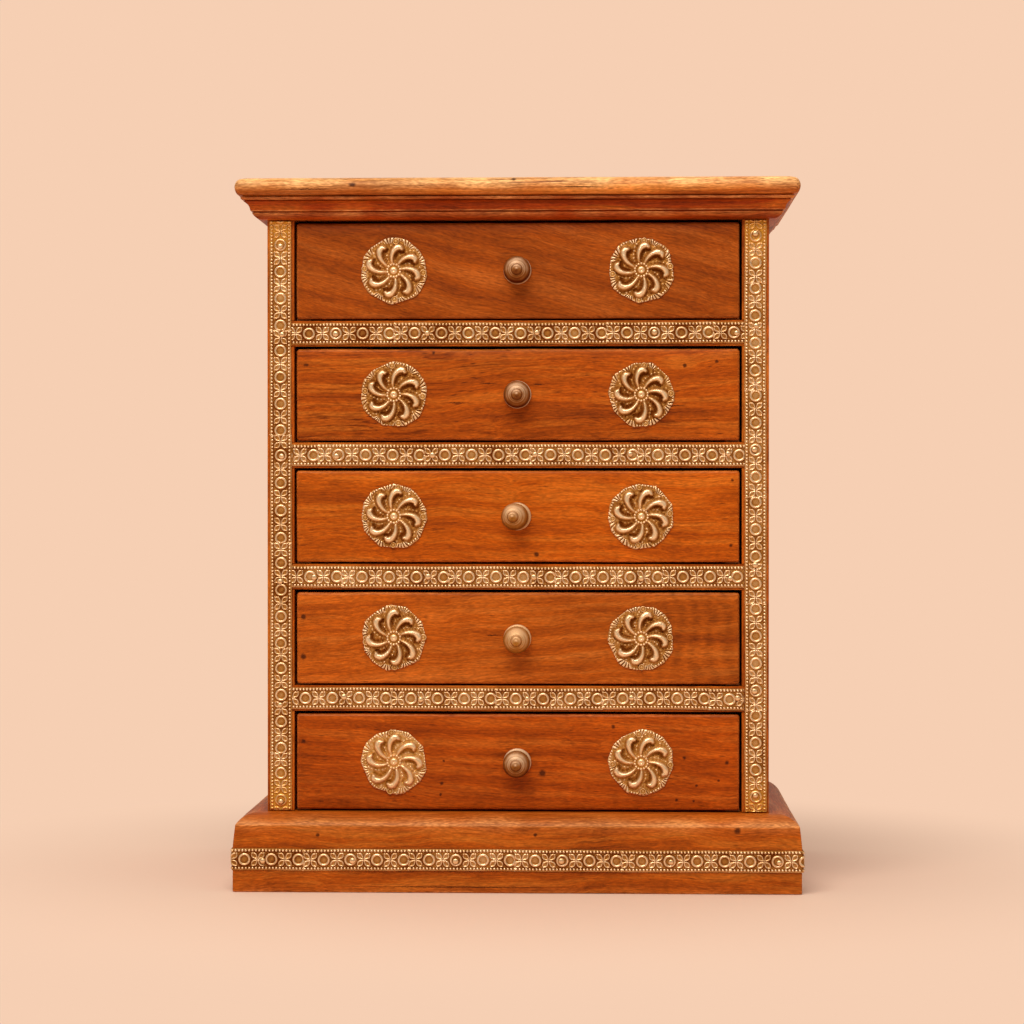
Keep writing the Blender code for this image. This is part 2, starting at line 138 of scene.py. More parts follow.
SEGMENT_SHIFT = 0.22  # how far a segment may lie off the strip's middle
RUBBED_ENDS = (14, 18)  # how far the rubbing at a post strip's first and last end reaches

# One arm of the pinwheel: share of the radius, and degrees clockwise from where it leaves the boss
ARM = ((0.22, 0), (0.36, 2), (0.50, 6), (0.63, 12), (0.725, 19), (0.76, 26), (0.725, 32))
# Half the width of an arm in mm, at shares of the way along it
ARM_RUNS, ARM_HALVES = (0, 0.2, 0.45, 0.7, 0.86, 1), (0.31, 0.53, 0.87, 1.32, 1.22, 0.53)
ROSETTE_ARMS = 8
ARM_TURN = 360 / ROSETTE_ARMS
SNIPS = 13  # straight cuts round the rim
FACETS, LOOPS = 448, 84  # mesh points round a rosette and from its rim to its middle
# Boss of a rosette in mm: its radius, the ring of beads along it, a bead, and the dome in the middle
BOSS, BEAD_RING, BOSS_BEAD, DOME = 4.6, 3.8, 0.8, 2.2
BOSS_BEADS = 14
# Strings of dots beside an arm in mm: the first string, from string to string, and from dot to dot
FIRST_STRING, STRING_PITCH, DOT_PITCH = 2.3, 2.0, 1.75
ARM_LENGTH = 0.95  # share of the radius
# Rope round the rim: share of the radius, half its width in mm, and its twists
ROPE_REACH, ROPE_HALF, ROPE_TWISTS = 0.945, 0.75, 70
# Degrees, left and right, from the top drawer down, and how far each rosette is rubbed
ROSETTE_TURNS = (11, 17, 6, 21, 14, 9, 25, 12, 19, 4)
ROSETTE_RUBS = (0.14, 0.07, 0.08, 0.06, 0.14, 0.14, 0.14, 0.14, 0.34, 0.22)
USUAL_RUB = 0.14  # a rosette that is rubbed more is also cleaner
ROSETTE_PIN_RISE = 0.00085  # from a rosette's back to the foot of its pin heads

# Turned profile of a knob in mm: distance from the drawer front, radius, and how far it is rubbed bright.
# Besides rubbing, the low values paint shade on the sides of the dome round its widest part, and the high ones
# a highlight on its front. The shank is the part inside the front
KNOB = (
    (0.0, 7.7, 0.5), (0.7, 8.05, 0.9), (1.5, 7.8, 0.95), (2.1, 6.4, 0.3), (3.4, 4.9, 0.1), (4.6, 5.1, 0.1),
    (5.8, 6.8, 0.1), (7.6, 7.7, 0.12), (9.4, 7.55, 0.18), (10.8, 6.9, 0.33), (12.0, 5.9, 0.62),
    (12.6, 5.24, 0.46), (13.1, 4.6, 0.76), (13.4, 4.1, 0.5), (13.6, 3.7, 0.72), (13.6, 3.3, 0.42),
    (14.3, 3.0, 0.42), (15.2, 2.6, 0.55), (15.6, 1.9, 0.45), (15.6, 1.2, 0.4), (15.8, 0.7, 0.5),
    (15.9, 0.03, 0.5),
)
SHANK = ((-9.0, 0.05, 0.3), (-9.0, 2.0, 0.3), (0.0, 2.0, 0.3))
KNOB_LENGTH = 0.017  # of the solid, from its seat to its tip
KNOB_FACETS = 72
# How far each knob leans left and down, as a share of its reach, and how far it is rubbed, from the top down
KNOB_LEANS = ((0.0, 0.02, -0.02), (0.0, 0.02, 0.0), (0.16, 0.01, 0.1), (0.02, 0.07, 0.16), (0.04, 0.06, 0.02))
# Turned profiles of pin heads: height in mm, share of the radius, and how far they are rubbed
PIN = (
    (0.0, 1.0, 0.1), (0.35, 0.98, 0.3), (0.7, 0.86, 0.6), (0.95, 0.64, 0.85), (1.1, 0.36, 0.95),
    (1.15, 0.02, 1.0),
)
FLAT_PIN = (
    (0.0, 1.0, 0.0), (0.3, 1.0, 0.25), (0.52, 0.92, 0.75), (0.52, 0.78, 0.65), (0.32, 0.62, 0.1),
    (0.36, 0.42, 0.3), (0.5, 0.22, 0.6), (0.5, 0.02, 0.65),
)
PIN_FACETS = 28
PIN_CLEAN = 0.2  # how far a pin head is rubbed clean

FLOOR_HALF, FLOOR_CELLS = 4, 8  # half the floor's width, and its cells each way
FLOOR_DROP = 0.0001  # from the foot of the chest to the floor
SHADOW_NEAR, SHADOW_FAR = 0.18, 0.45  # from the floor's middle to where its shadow starts to fade, and is gone
# Soft box: its place, size and turn
KEY_AT, KEY_SIZE = (-0.3, -1.3, 1.75), (1.5, 1.0)
KEY_TURN = (math.radians(40.7), 0.0, math.radians(-13))


def linear(code):
    """Linear colour of an sRGB hex code."""
    channels = [int(code[i:i + 2], 16) / 255 for i in (1, 3, 5)]
    return (*[c / 12.92 if c <= 0.04045 else ((c + 0.055) / 1.055) ** 2.4 for c in channels], 1.0)


def length(label, text, size):
    """A size in metres that a user may change."""
    return bpy.props.FloatProperty(name=label, description=text, default=size, min=0.0, precision=5,
                                   subtype="DISTANCE", unit="LENGTH")


def colour(label, text, code):
    """A colour that a user may change, given as sRGB hex."""
    return bpy.props.FloatVectorProperty(name=label, description=text, default=linear(code), size=4,
                                         min=0.0, max=1.0, subtype="COLOR")


class ChestWood(bpy.types.PropertyGroup):
    """Sizes and colours of the wooden pieces."""

    hand: length("Unevenness", "How far a hand-worked face strays from true", 0.00014)
    ease: length("Eased edge", "Radius on the front edges of a drawer", 0.0015)
    lap: length("Front lap", "Part of a drawer front that covers the ends of the sides", 0.004)
    back_inset: length("Back inset", "How far the rear of a drawer front stays inside its ends", 0.0083)
    mitre: length("Mitre gap", "Half the open line at a mitre", 0.00009)
    edge: length("Board edge", "Softened edge of the plain boards", 0.0005)
    pale: colour("Carcass, pale", "Pale grain of the cabinet teak", "#C26C20")
    main: colour("Carcass, main", "Main colour of the cabinet teak", "#AC500A")
    dark: colour("Carcass, dark", "Dark grain of the cabinet teak", "#6F2B03")
    cornice_pale: colour("Cornice, pale", "Pale grain of the cornice", "#C46418")
    cornice_main: colour("Cornice, main", "Main colour of the cornice", "#A03800")
    cornice_dark: colour("Cornice, dark", "Dark grain of the cornice", "#561C02")
    lid_pale: colour("Lid, pale", "Pale grain of the top board", "#E08834")
    lid_main: colour("Lid, main", "Main colour of the top board", "#BA5C13")
    lid_dark: colour("Lid, dark", "Dark grain of the top board", "#722C06")
    # Pale colour of the rubbed top board, which also paints the highlight along the top of its nose
    lid_lit_and_worn: colour("Lid, worn", "Top board where the polish has rubbed off", "#FAC07A")
    box_pale: colour("Drawer box, pale", "Pale grain inside the drawers", "#D09A62")
    box_main: colour("Drawer box, main", "Main colour inside the drawers", "#B97B45")
    box_dark: colour("Drawer box, dark", "Dark grain inside the drawers", "#8A5227")
    spot: colour("Spots", "Plugged nail holes, pin knots and cracks", "#3A1505")
    # Colour of rubbed edges; on the cornice and plinth it also paints their highlights
    worn_and_lit: colour("Worn edge", "Wood where the polish has rubbed thin", "#E59E5A")


class ChestBrass(bpy.types.PropertyGroup):
    """Sizes and colours of the brass."""

    step: length("Relief step", "Distance between mesh points on pressed brass", 0.00023)
    sheet: length("Sheet", "Height of the strip's ground off its seat", 0.00045)
    relief: length("Relief", "Height of the strip's pattern above its ground", 0.00075)
    ring: length("Ring", "Radius of the rings along their crest", 0.0029)
    ring_line: length("Ring line", "Half the width of a ring's ridge", 0.00088)
    leaf: length("Leaf", "Length of a leaf along the diagonal", 0.0042)
    leaf_half: length("Leaf half-width", "From a leaf's middle to its outline", 0.00125)
    leaf_line: length("Leaf line", "Half the width of a leaf's outline", 0.0006)
    bead_line: length("Bead line", "From the strip's middle to a row of beads", 0.00503)
    bead: length("Bead", "Radius of a bead", 0.00078)
    pin: length("Pin", "Radius of a strip's pin head", 0.00178)
    flat_pin: length("Rosette pin", "Radius of a rosette's flat pin head", 0.0018)
    fold: length("Fold", "Radius of the plinth strip's folds", 0.001)
    arm: length("Arm", "Height of a rosette's arms above its ground", 0.0026)
    recess: colour("Recess", "Brown tarnish in the hollows", "#6E320A")
    ground: colour("Ground", "Tarnished ground", "#B67C3A")
    flank: colour("Flank", "Half-rubbed brass", "#DDB078")
    crest: colour("Crest", "Rubbed bright brass", "#FFDEB2")
    glance: colour("Glance", "Colour of the brass at a glancing angle", "#A87848")
    clean: colour("Clean", "Brass that was rubbed clean of its tarnish", "#E8A63C")
    # Colour of rubbed knobs, which also paints their highlights on the front and upper side
    knob: colour("Knob, rubbed", "Knobs where fingers rub them", "#DCB894")
    knob_main: colour("Knob", "Satin browned brass of the knobs", "#9E6430")
    knob_dark: colour("Knob, dark", "Tarnish in the knobs' grooves", "#64280A")
    knob_glance: colour("Knob, glance", "Colour of a knob at a glancing angle", "#6A3A18")


class ChestStage(bpy.types.PropertyGroup):
    """Camera, light and floor."""

    eye: bpy.props.FloatVectorProperty(
        name="Camera", description="Where the camera stands", size=3, subtype="XYZ", unit="LENGTH",
        default=(0.0532, -1.6712, 0.229))
    turn: bpy.props.FloatVectorProperty(
        name="Camera turn", description="Turn of the camera", size=3, subtype="EULER", unit="ROTATION",
        default=(math.radians(89.606), 0.0, math.radians(2.03)))
    lens: bpy.props.FloatProperty(
        name="Lens", description="Focal length in mm on a 36 mm frame", default=96.74)
    key: bpy.props.FloatProperty(
        name="Key", description="Power of the soft box above the front", default=32.0, unit="POWER")
    sky: bpy.props.FloatProperty(
        name="Sky", description="Strength of the surrounding light", default=0.42)
    floor: colour("Floor", "Pale paper under the chest", "#EACBB4")
    backdrop: colour("Backdrop", "Pale paper behind the chest", "#F6CFB3")
    room: colour("Room", "Light of the room round the stage", "#FFF5EC")
    lamp: colour("Lamp", "Light of the soft box", "#FFF8F1")


def wander(points, wave, seed):
    """Smooth wandering value, from about -1 to 1, at points in metres; wave is its usual length."""
    draw = np.random.default_rng(seed)
    total = np.zeros(points.shape[:-1])
    for _ in range(6):
        way = draw.normal(size=3)
        way *= FULL_TURN / (np.linalg.norm(way) * wave * draw.uniform(0.7, 1.5))
        total += np.sin(points @ way + draw.uniform(0, FULL_TURN))
    return total * 0.3


def unit(value):
    """The value, held between 0 and 1."""
    return np.clip(value, 0, 1)


def hump(distance, spread):
    """Soft hump: 1 where the distance is 0, and gone at about twice the spread."""
    return np.exp(-((distance / spread) ** 2))


def ridge(distance, half):
    """Rounded ridge: 1 along its crest and 0 beyond its half-width."""
    return np.cos(np.clip(distance / half, -1, 1) * math.pi / 2)


def smooth_line(points, count):
    """Points along a smooth curve through the given ones."""
    knots = np.array(points, float)
    ends = np.vstack([2 * knots[0] - knots[1], knots, 2 * knots[-1] - knots[-2]])
    place = np.linspace(0, len(knots) - 1, count)
    i = np.minimum(place.astype(int), len(knots) - 2)
    t = (place - i)[:, None]
    a, b, c, d = (ends[i + k] for k in range(4))
    return 0.5 * (2 * b + (c - a) * t + (2 * a - 5 * b + 4 * c - d) * t**2 + (3 * b - a - 3 * c + d) * t**3)


def bow(start, end, rise, wear):
    """Arc in a moulding section, bowing by rise to the right of the way from start to end."""
    start, end = np.array(start), np.array(end)
    across = (end - start) / 2
    half = np.linalg.norm(across)
    normal = np.array((across[1], -across[0])) / half * math.copysign(1.0, rise)
    rise = abs(rise)
    radius = (half * half + rise * rise) / (2 * rise)
    middle = start + across + normal * (rise - radius)
    swing = math.atan2(half, radius - rise)
    arc = []
    for angle in np.linspace(-swing, swing, ARC_STEPS + 1):
        point = middle + across / half * radius * math.sin(angle) + normal * radius * math.cos(angle)
        arc.append((*point, wear))
    return arc


def loft(rows, **values):
    """Skin through rows of points, each a closed loop, with capped ends: its points, faces and values."""
    rows = np.asarray(rows, float)
    count, size = rows.shape[:2]
    i, j = np.arange(count - 1)[:, None] * size, np.arange(size)[None, :]
    k = (j + 1) % size
    quads = np.stack([i + j, i + k, i + size + k, i + size + j], -1).reshape(-1, 4)
    points = rows.reshape(-1, 3)
    faces = quads.tolist() + [list(range(size))[::-1], list(range((count - 1) * size, count * size))]
    a, b, c, d = (points[quads[:, n]] - points.mean(0) for n in range(4))
    volume = np.einsum("ij,ij->", a, np.cross(b, c)) + np.einsum("ij,ij->", a, np.cross(c, d))
    if volume < 0:
        faces = [face[::-1] for face in faces]
    return points, faces, {name: np.broadcast_to(v, rows.shape[:2]).ravel() for name, v in values.items()}


def lathe(profile, at, facets, **values):
    """Turned body on an axis that points out of the front; profile is distance out and radius, in metres."""
    angles = np.linspace(0, FULL_TURN, facets, endpoint=False)
    rows = []
    for out, radius in profile:
        rows.append(np.stack([radius * np.cos(angles), np.full(facets, -out), radius * np.sin(angles)], 1))
    return loft(np.array(rows) + np.array(at), **values)


def eased_board(low, high, radius, pitch, hand, seed):
    """Board with a rounded front, square behind, whose faces wander a little; with the wear of its edges."""
    low, high = np.array(low), np.array(high)
    behind = high[1]
    high[1] += radius
    edge = radius * (1 - np.tan(np.radians((45, 30, 15, 0))))
    ticks = []
    for a, b in zip(low, high):
        inner = np.linspace(a + radius, b - radius, max(2, int((b - a) / pitch)))[1:-1]
        ticks.append(np.concatenate([a + edge, inner, (b - edge)[::-1]]))
    index, faces = {}, []
    for axis in range(3):
        u, v = (axis + 1) % 3, (axis + 2) % 3
        ends = (0, len(ticks[axis]) - 1)
        for end, i, j in itertools.product(ends, range(len(ticks[u]) - 1), range(len(ticks[v]) - 1)):
            face = []
            for di, dj in ((0, 0), (1, 0), (1, 1), (0, 1)):
                key = [end] * 3
                key[u], key[v] = i + di, j + dj
                face.append(index.setdefault(tuple(key), len(index)))
            faces.append(face if end else face[::-1])
    keys = np.array(list(index))
    points = np.stack([ticks[axis][keys[:, axis]] for axis in range(3)], 1)
    inner = np.clip(points, low + radius, high - radius)
    out = (points - inner) / np.linalg.norm(points - inner, axis=1)[:, None]
    wear = unit(np.sort(np.abs(out), axis=1)[:, 1] * 1.5)
    stray = hand * (wander(points, 0.045, seed) - wear * (1.2 + wander(points, 0.012, seed + 1)))
    points = inner + out * (radius + stray[:, None])
    points[:, 1] = np.minimum(points[:, 1], behind)
    return points, faces, {"wear": wear}


def make_mesh(name, parts, sharp):
    """One mesh of several parts, smooth but for edges sharper than the angle in degrees."""
    points, faces, start = [], [], 0
    for part in parts:
        points.append(part[0])
        faces += [[start + n for n in face] for face in part[1]]
        start += len(part[0])
    mesh = bpy.data.meshes.new(name)
    mesh.from_pydata(np.concatenate(points).tolist(), [], faces)
    for label in parts[0][2]:
        values = np.concatenate([part[2][label] for part in parts]).astype(np.float32)
        mesh.attributes.new(label, "FLOAT", "POINT").data.foreach_set("value", values)
    mesh.polygons.foreach_set("use_smooth", np.ones(len(mesh.polygons), bool))
    mesh.set_sharp_from_angle(angle=math.radians(sharp))
    return mesh


def add_piece(name, parts, material, body, nodes=(), sharp=40):
    """A new piece of the chest that rides on a body and stands for the nodes."""
    piece = bpy.data.objects.new(name, make_mesh(name, parts, sharp))
    piece.data.materials.append(material)
    bpy.context.scene.collection.objects.link(piece)
    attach(piece, body)
    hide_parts(*nodes)


def feed(node, inputs):
    """Give a node's sockets their values, or the sockets that feed them, in order or by name or number."""
    for socket, value in inputs.items() if isinstance(inputs, dict) else enumerate(inputs):
        if isinstance(value, bpy.types.NodeSocket):
            node.id_data.links.new(value, node.inputs[socket])
        else:
            node.inputs[socket].default_value = value


def add(tree, kind, inputs=(), stops=(), out=0, **settings):
    """Add a node with its settings, inputs and colour stops; gives one output, or all where out is None."""
    node = tree.nodes.new("ShaderNode" + kind)
    for name, value in settings.items():
        setattr(node, name, value)
    feed(node, inputs)
    if stops:
        ramp = node.color_ramp.elements
        while len(ramp) < len(stops):
            ramp.new(1.0)
        for element, (place, shade) in zip(ramp, stops):
            element.position, element.color = place, shade
    return node.outputs if out is None else node.outputs[out]


def start_material(name, values):
    """A material, its shader with even values set straight on the sockets, and the function to add nodes."""
    material = bpy.data.materials.new(name)
    material.use_nodes = True
    shader = material.node_tree.nodes["Principled BSDF"]
    feed(shader, values)
    return material, shader, functools.partial(add, material.node_tree)


def curly_shade(node, leant, mottle, bands, shade):
    """Shade with a curly figure: soft upright ripples over the last 50 mm of a board's right end."""
    across = node("SeparateXYZ", (leant,))
    phase = node("Math", (mottle, 24.0, across), operation="MULTIPLY_ADD")
    wave = node("Math", (phase, FULL_TURN / RIPPLE), operation="MULTIPLY")
    wave = node("Math", (wave,), operation="SINE")
    reach = node("MapRange", (across, RIPPLE_START, RIPPLE_FULL, 0.0, 0.18))
    reach = node("Math", (reach, bands), operation="MULTIPLY")
    return node("Math", (wave, reach, shade), operation="MULTIPLY_ADD")


def marked_tone(node, at, tone, marks, spot):
    """Tone with dark marks on a front face, ragged by about 1 mm."""
    # They fade towards the back, 1 unit in 100 mm
    face = node("VectorMath", (at, (1000.0, 10.0, 1000.0), (0, -10 * FRONT, 0)), operation="MULTIPLY_ADD")
    rough = node("TexNoise", {"Vector": face, "Scale": 1 / 1.6, "Detail": 2.0}, out="Color")
    face = node("VectorMath", (rough, (1.4, 0, 1.0), face), operation="MULTIPLY_ADD")
    for x, z, long, high in marks:
        place = (-(x + 0.7) / long, 0, -(z + 0.5) / high)
        far = node("Mapping", {"Vector": face, "Location": place, "Scale": (1 / long, 1, 1 / high)})
        far = node("VectorMath", (far,), out="Value", operation="LENGTH")
        mark = node("MapRange", (far, 0.55, 1.25, 0.85, 0.0))
        tone = node("Mix", {0: mark, 6: tone, 7: spot}, out=2, data_type="RGBA")
    return tone


def grain_patterns(node, leant, turn, seed, stray):
    """Places along the straying grain, and the five patterns of GRAIN there."""
    shift = (131.0 * seed, 47.0 * seed, 83.0 * seed)
    grain = node("Mapping", {"Vector": leant, "Rotation": turn, "Location": shift})
    # The grain strays by a few mm over about 60 mm
    waver = node("TexNoise", {"Vector": grain, "Scale": 1 / 60, "Detail": 2.0}, out="Color")
    bent = node("VectorMath", (waver, (0.0, stray, stray), grain), operation="MULTIPLY_ADD")
    patterns = []
    for wide, long, detail, harsh in GRAIN:
        drawn = node("VectorMath", (bent, (1 / long, 1, 1)), operation="MULTIPLY")
        patterns.append(node("TexNoise", {
            "Vector": drawn, "Scale": 1 / wide, "Detail": detail, "Roughness": harsh}))
    return bent, patterns


def pore_holes(node, bent, pores):
    """Pores along the grain, 0.2 mm wide but drawn about 0.5 mm wide to show, and 4 mm long."""
    short = node("VectorMath", (bent, (1 / 7, 1, 1)), operation="MULTIPLY")
    # Some of the cells, which are 1.7 mm wide, hold a pore
    cells = node("TexVoronoi", {"Vector": short, "Scale": 1 / 1.7}, out=None)
    holes = node("MapRange", (cells["Distance"], 0.08, 0.24, pores, 0.0))
    some = node("MapRange", (cells["Color"], 0.45, 0.75, 0.0, 1.0))
    return node("Math", (holes, some), operation="MULTIPLY")


def worn_and_lit_edges(node, mottle, flecks, fibres):
    """How far the edges are rubbed, and on the lid and mouldings painted lighter as highlights, in short
    broken lines.
    """
    edge = node("Attribute", out="Fac", attribute_name="wear")
    rub_and_light = node("Math", (edge, mottle), operation="MULTIPLY")
    ragged = node("Math", (flecks, fibres), operation="ADD")
    broken = node("MapRange", (ragged, 0.8, 1.2, 0.7, 1.3))
    return node("Math", (rub_and_light, broken), operation="MULTIPLY", use_clamp=True)


def teak(name, tones, turn, seed, streaks=0.6, pores=0.5, tilt=0, marks=(), ripple=False, drift=None,
         worn_and_lit=None, stray=11.0):
    """Hand-planed teak, oiled and waxed.

    It gives the eye long warm streaks over slow changes of tone, short dark pores along the grain, a dull
    satin sheen, and paler edges where the wax has rubbed off, which on the lid and mouldings are also painted
    highlights.
    """
    wood = bpy.context.scene.chest_wood
    pale, main, dark = tones
    material, shader, node = start_material(name, {"IOR": 1.5, "Specular IOR Level": 0.12})
    at = node("TexCoord", out="Object")
    leant = node("Mapping", {"Vector": at, "Scale": (1000.0,) * 3, "Rotation": (0, math.radians(tilt), 0)})
    bent, (bands, fibres, flecks, lines, mottle) = grain_patterns(node, leant, turn, seed, stray)
    holes = pore_holes(node, bent, pores)
    tone = node("ValToRGB", (bands,), ((0.30, pale), (0.52, main), (0.84, dark)))
    # Dark lines gather where the mottling is dark
    gather = node("MapRange", (mottle, 0.60, 0.42, 0.1 * streaks, streaks))
    streak = node("MapRange", (lines, 0.52, 0.68, 0.0, 1.0))
    streak = node("Math", (streak, gather), operation="MULTIPLY")
    # The dark lines still show over rubbed edges and painted highlights
    rub_and_light = worn_and_lit_edges(node, mottle, flecks, fibres)
    tone = node("Mix", {0: rub_and_light, 6: tone, 7: worn_and_lit or wood.worn_and_lit}, out=2, data_type="RGBA")
    tone = node("Mix", {0: streak, 6: tone, 7: dark}, out=2, data_type="RGBA")
    shade = 1.0
    for source, swing in ((mottle, 0.13), (fibres, 0.20), (flecks, 0.22)):
        part = node("MapRange", (source, 0.3, 0.7, 1 - swing, 1 + swing))
        shade = node("Math", (part, shade), operation="MULTIPLY")
    if drift:
        across = node("SeparateXYZ", (at,))
        part = node("MapRange", (across, -FADE_HALF, FADE_HALF, *drift))
        shade = node("Math", (part, shade), operation="MULTIPLY")
    if ripple:
        shade = curly_shade(node, leant, mottle, bands, shade)
    tone = node("VectorMath", {0: tone, 3: shade}, operation="SCALE")
    hole = tuple(c * 0.4 for c in dark)
    tone = node("Mix", {0: holes, 6: tone, 7: hole}, out=2, data_type="RGBA")
    if marks:
        tone = marked_tone(node, at, tone, marks, wood.spot)
    dull = node("MapRange", (bands, 0.25, 0.75, 0.36, 0.50))
    # The raised grain stands 0.06 mm high
    raised = node("Math", (fibres, holes), operation="SUBTRACT")
    bump = node("Bump", {"Height": raised, "Distance": 0.00006, "Strength": 0.8})
    feed(shader, {"Base Color": tone, "Roughness": dull, "Normal": bump})
    return material


def pressed_brass(name, bare):
    """Thin sheet brass, stamped in a die, tarnished brown and rubbed bright again on its crests.

    It gives the eye a bright pattern with dark lines of tarnish and painted shade round it. bare is the share
    of clean metal on the crests, where the rest is a thin pale tarnish.
    """
    brass = bpy.context.scene.chest_brass
    material, shader, node = start_material(name, {"Specular IOR Level": 0.15, "Specular Tint": brass.glance})
    at = node("TexCoord", out="Object")
    # Tarnish comes in clouds about 9 mm across and grains of 0.9 mm
    clouds = node("TexNoise", {"Vector": at, "Scale": 1000 / 9, "Detail": 3.0})
    grains = node("TexNoise", {"Vector": at, "Scale": 1000 / 0.9, "Detail": 2.0})
    # The relief values hold tarnish and rubbing, and also painted shade along the foot of the strips' pattern
    # and in the rosettes' hollows, and a painted highlight along the rosettes' crests
    high = node("Attribute", out="Fac", attribute_name="relief")
    stain = node("Math", (clouds, 0.5, -0.25), operation="MULTIPLY_ADD")
    stain = node("Math", (grains, 0.30, stain), operation="MULTIPLY_ADD")
    level = node("Math", (high, stain), operation="ADD")
    level = node("Math", (level, 0.15), operation="SUBTRACT")
    tone = node("ValToRGB", (level,), (
        (0.0, brass.recess), (0.30, brass.ground), (0.60, brass.flank), (0.90, brass.crest)))
    rubbed = node("Attribute", out="Fac", attribute_name="clean")
    rubbed = node("Math", (rubbed, 0.75), operation="MULTIPLY")
    tone = node("Mix", {0: rubbed, 6: tone, 7: brass.clean}, out=2, data_type="RGBA")
    # Tarnish is a brown oxide, so it hides the metal in the hollows
    bright = node("MapRange", (level, 0.0, 0.7, 0.40, bare))
    dull = node("MapRange", (level, 0.0, 1.0, 0.58, 0.30))
    # Die marks and dents about 0.02 mm deep
    bump = node("Bump", {"Height": grains, "Distance": 0.00003, "Strength": 0.7})
    feed(shader, {"Base Color": tone, "Metallic": bright, "Roughness": dull, "Normal": bump})
    return material


def turned_brass():
    """Cast brass, turned on a lathe, browned and handled to a satin: dark grooves and soft wide lights."""
    brass = bpy.context.scene.chest_brass
    material, shader, node = start_material("turned brass, browned satin", {
        "Metallic": 0.6, "Specular IOR Level": 0.4, "Specular Tint": brass.knob_glance})
    at = node("TexCoord", out="Object")
    # Tarnish comes in clouds about 4 mm across
    clouds = node("TexNoise", {"Vector": at, "Scale": 1000 / 4, "Detail": 5.0})
    # Tool marks are finer than a pixel, so they are drawn about 3 mm apart: 20 radians of wave in 10 mm
    rings = node("TexWave", {"Vector": at, "Scale": 1000 / 10, "Distortion": 0.6, "Detail": 1.0}, out=1,
                 bands_direction="Y")
    # The relief values hold rubbing and painted light: each knob is painted lighter on its upper side and
    # front, and darker on its lower side and round the sides of its dome
    high = node("Attribute", out="Fac", attribute_name="relief")
    level = node("Math", (clouds, 0.6, -0.3), operation="MULTIPLY_ADD")
    level = node("Math", (high, level), operation="ADD")
    tone = node("ValToRGB", (level,), ((0.0, brass.knob_dark), (0.45, brass.knob_main), (0.95, brass.knob)))
    clean = node("Attribute", out="Fac", attribute_name="clean")
    tone = node("Mix", {0: clean, 6: tone, 7: brass.clean}, out=2, data_type="RGBA")
    dull = node("MapRange", (clouds, 0.3, 0.7, 0.52, 0.64))
    bump = node("Bump", {"Height": rings, "Distance": 0.00001, "Strength": 0.4})
    feed(shader, {"Base Color": tone, "Roughness": dull, "Normal": bump})
    return material


def dress_node(name, material, edge):
    """Give a carried-over board its material and softened edges."""
    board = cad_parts[name]
    board.material_slots[0].material = material
    ease = board.modifiers.new("softened edges", "BEVEL")
    ease.width, ease.segments, ease.limit_method, ease.angle_limit = edge, 2, "ANGLE", math.radians(40)


def lid_outline(half, front):
    """Top board seen from above, from its right rear corner round the front to its left rear corner."""
    right = [(half + LID_CORNER, y) for y in np.linspace(front, BACK, 40)[::-1]]
    for swing in np.linspace(0, -math.pi / 2, 7)[1:-1]:
        right.append((half + LID_CORNER * math.cos(swing), front + LID_CORNER * math.sin(swing)))
    middle = [(x, front - LID_CORNER) for x in np.linspace(half, -half, 70)]
    return right + middle + [(-x, y) for x, y in right[::-1]]


def moulding(section, side, wood, seed):
    """One mitred length of moulding: side 0 is the front, -1 and 1 the sides."""
    section = np.array(section)
    out, level = section[:, 0] * MM, section[:, 1] * MM
    reach, gap = HALF_WIDTH + out, wood.mitre
    rows = []
    for share in np.linspace(0, 1, SIDE_STEPS if side else FRONT_STEPS):
        if side == 0:
            x, y = (reach - gap) * (2 * share - 1), FRONT - out
        else:
            near = FRONT - out + gap
            x, y = side * reach, near + (BACK - near) * share
        rows.append(np.stack(np.broadcast_arrays(x, y, level), 1))
    rows = np.array(rows)
    shown = (section[:, 0] > 1.0)[None, :, None]
    away = np.array((side, 0.0 if side else -1.0, 0.35))
    stray = wood.hand * (wander(rows, 0.05, seed) + 0.5 * wander(rows, 0.014, seed + 1))
    rows += shown * away * stray[..., None]
    rows[..., 2] = np.clip(rows[..., 2], level.min(), level.max())
    wear = np.broadcast_to(section[:, 2], rows.shape[:2]) * (0.75 + 0.5 * wander(rows, 0.03, seed + 2))
    return loft(rows, wear=unit(wear))


def add_mouldings(node, section, tones, seed, streaks, hand_seed, marks=()):
    """Three mitred lengths of a moulding, which together stand for its node."""
    wood = bpy.context.scene.chest_wood
    across = teak(f"oiled teak, {node} front", tones, ALONG_X, seed, streaks, marks=marks)
    along = teak(f"oiled teak, {node} sides", tones, ALONG_Y, seed + 1, streaks)
    for place, side in (("front", 0), ("left", -1), ("right", 1)):
        part = moulding(section, side, wood, hand_seed + side)
        add_piece(f"{node}_{place}", [part], along if side else across, "carcass", [node], sharp=35)


def is_upright(strip):
    """Whether a strip runs up a post."""
    return strip.endswith("post_strip")


def strip_span(name, fold):
    """Where a strip starts and ends along itself, in mm."""
    low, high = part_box(name)
    if name.startswith("rail"):
        return low.x / MM, high.x / MM
    if is_upright(name):
        return 0.0, (high.z - low.z) / MM
    half = high.x - STRIP_THICK - fold + fold * math.pi / 2 + (high.y - low.y - STRIP_THICK - fold)
    return -half / MM, half / MM


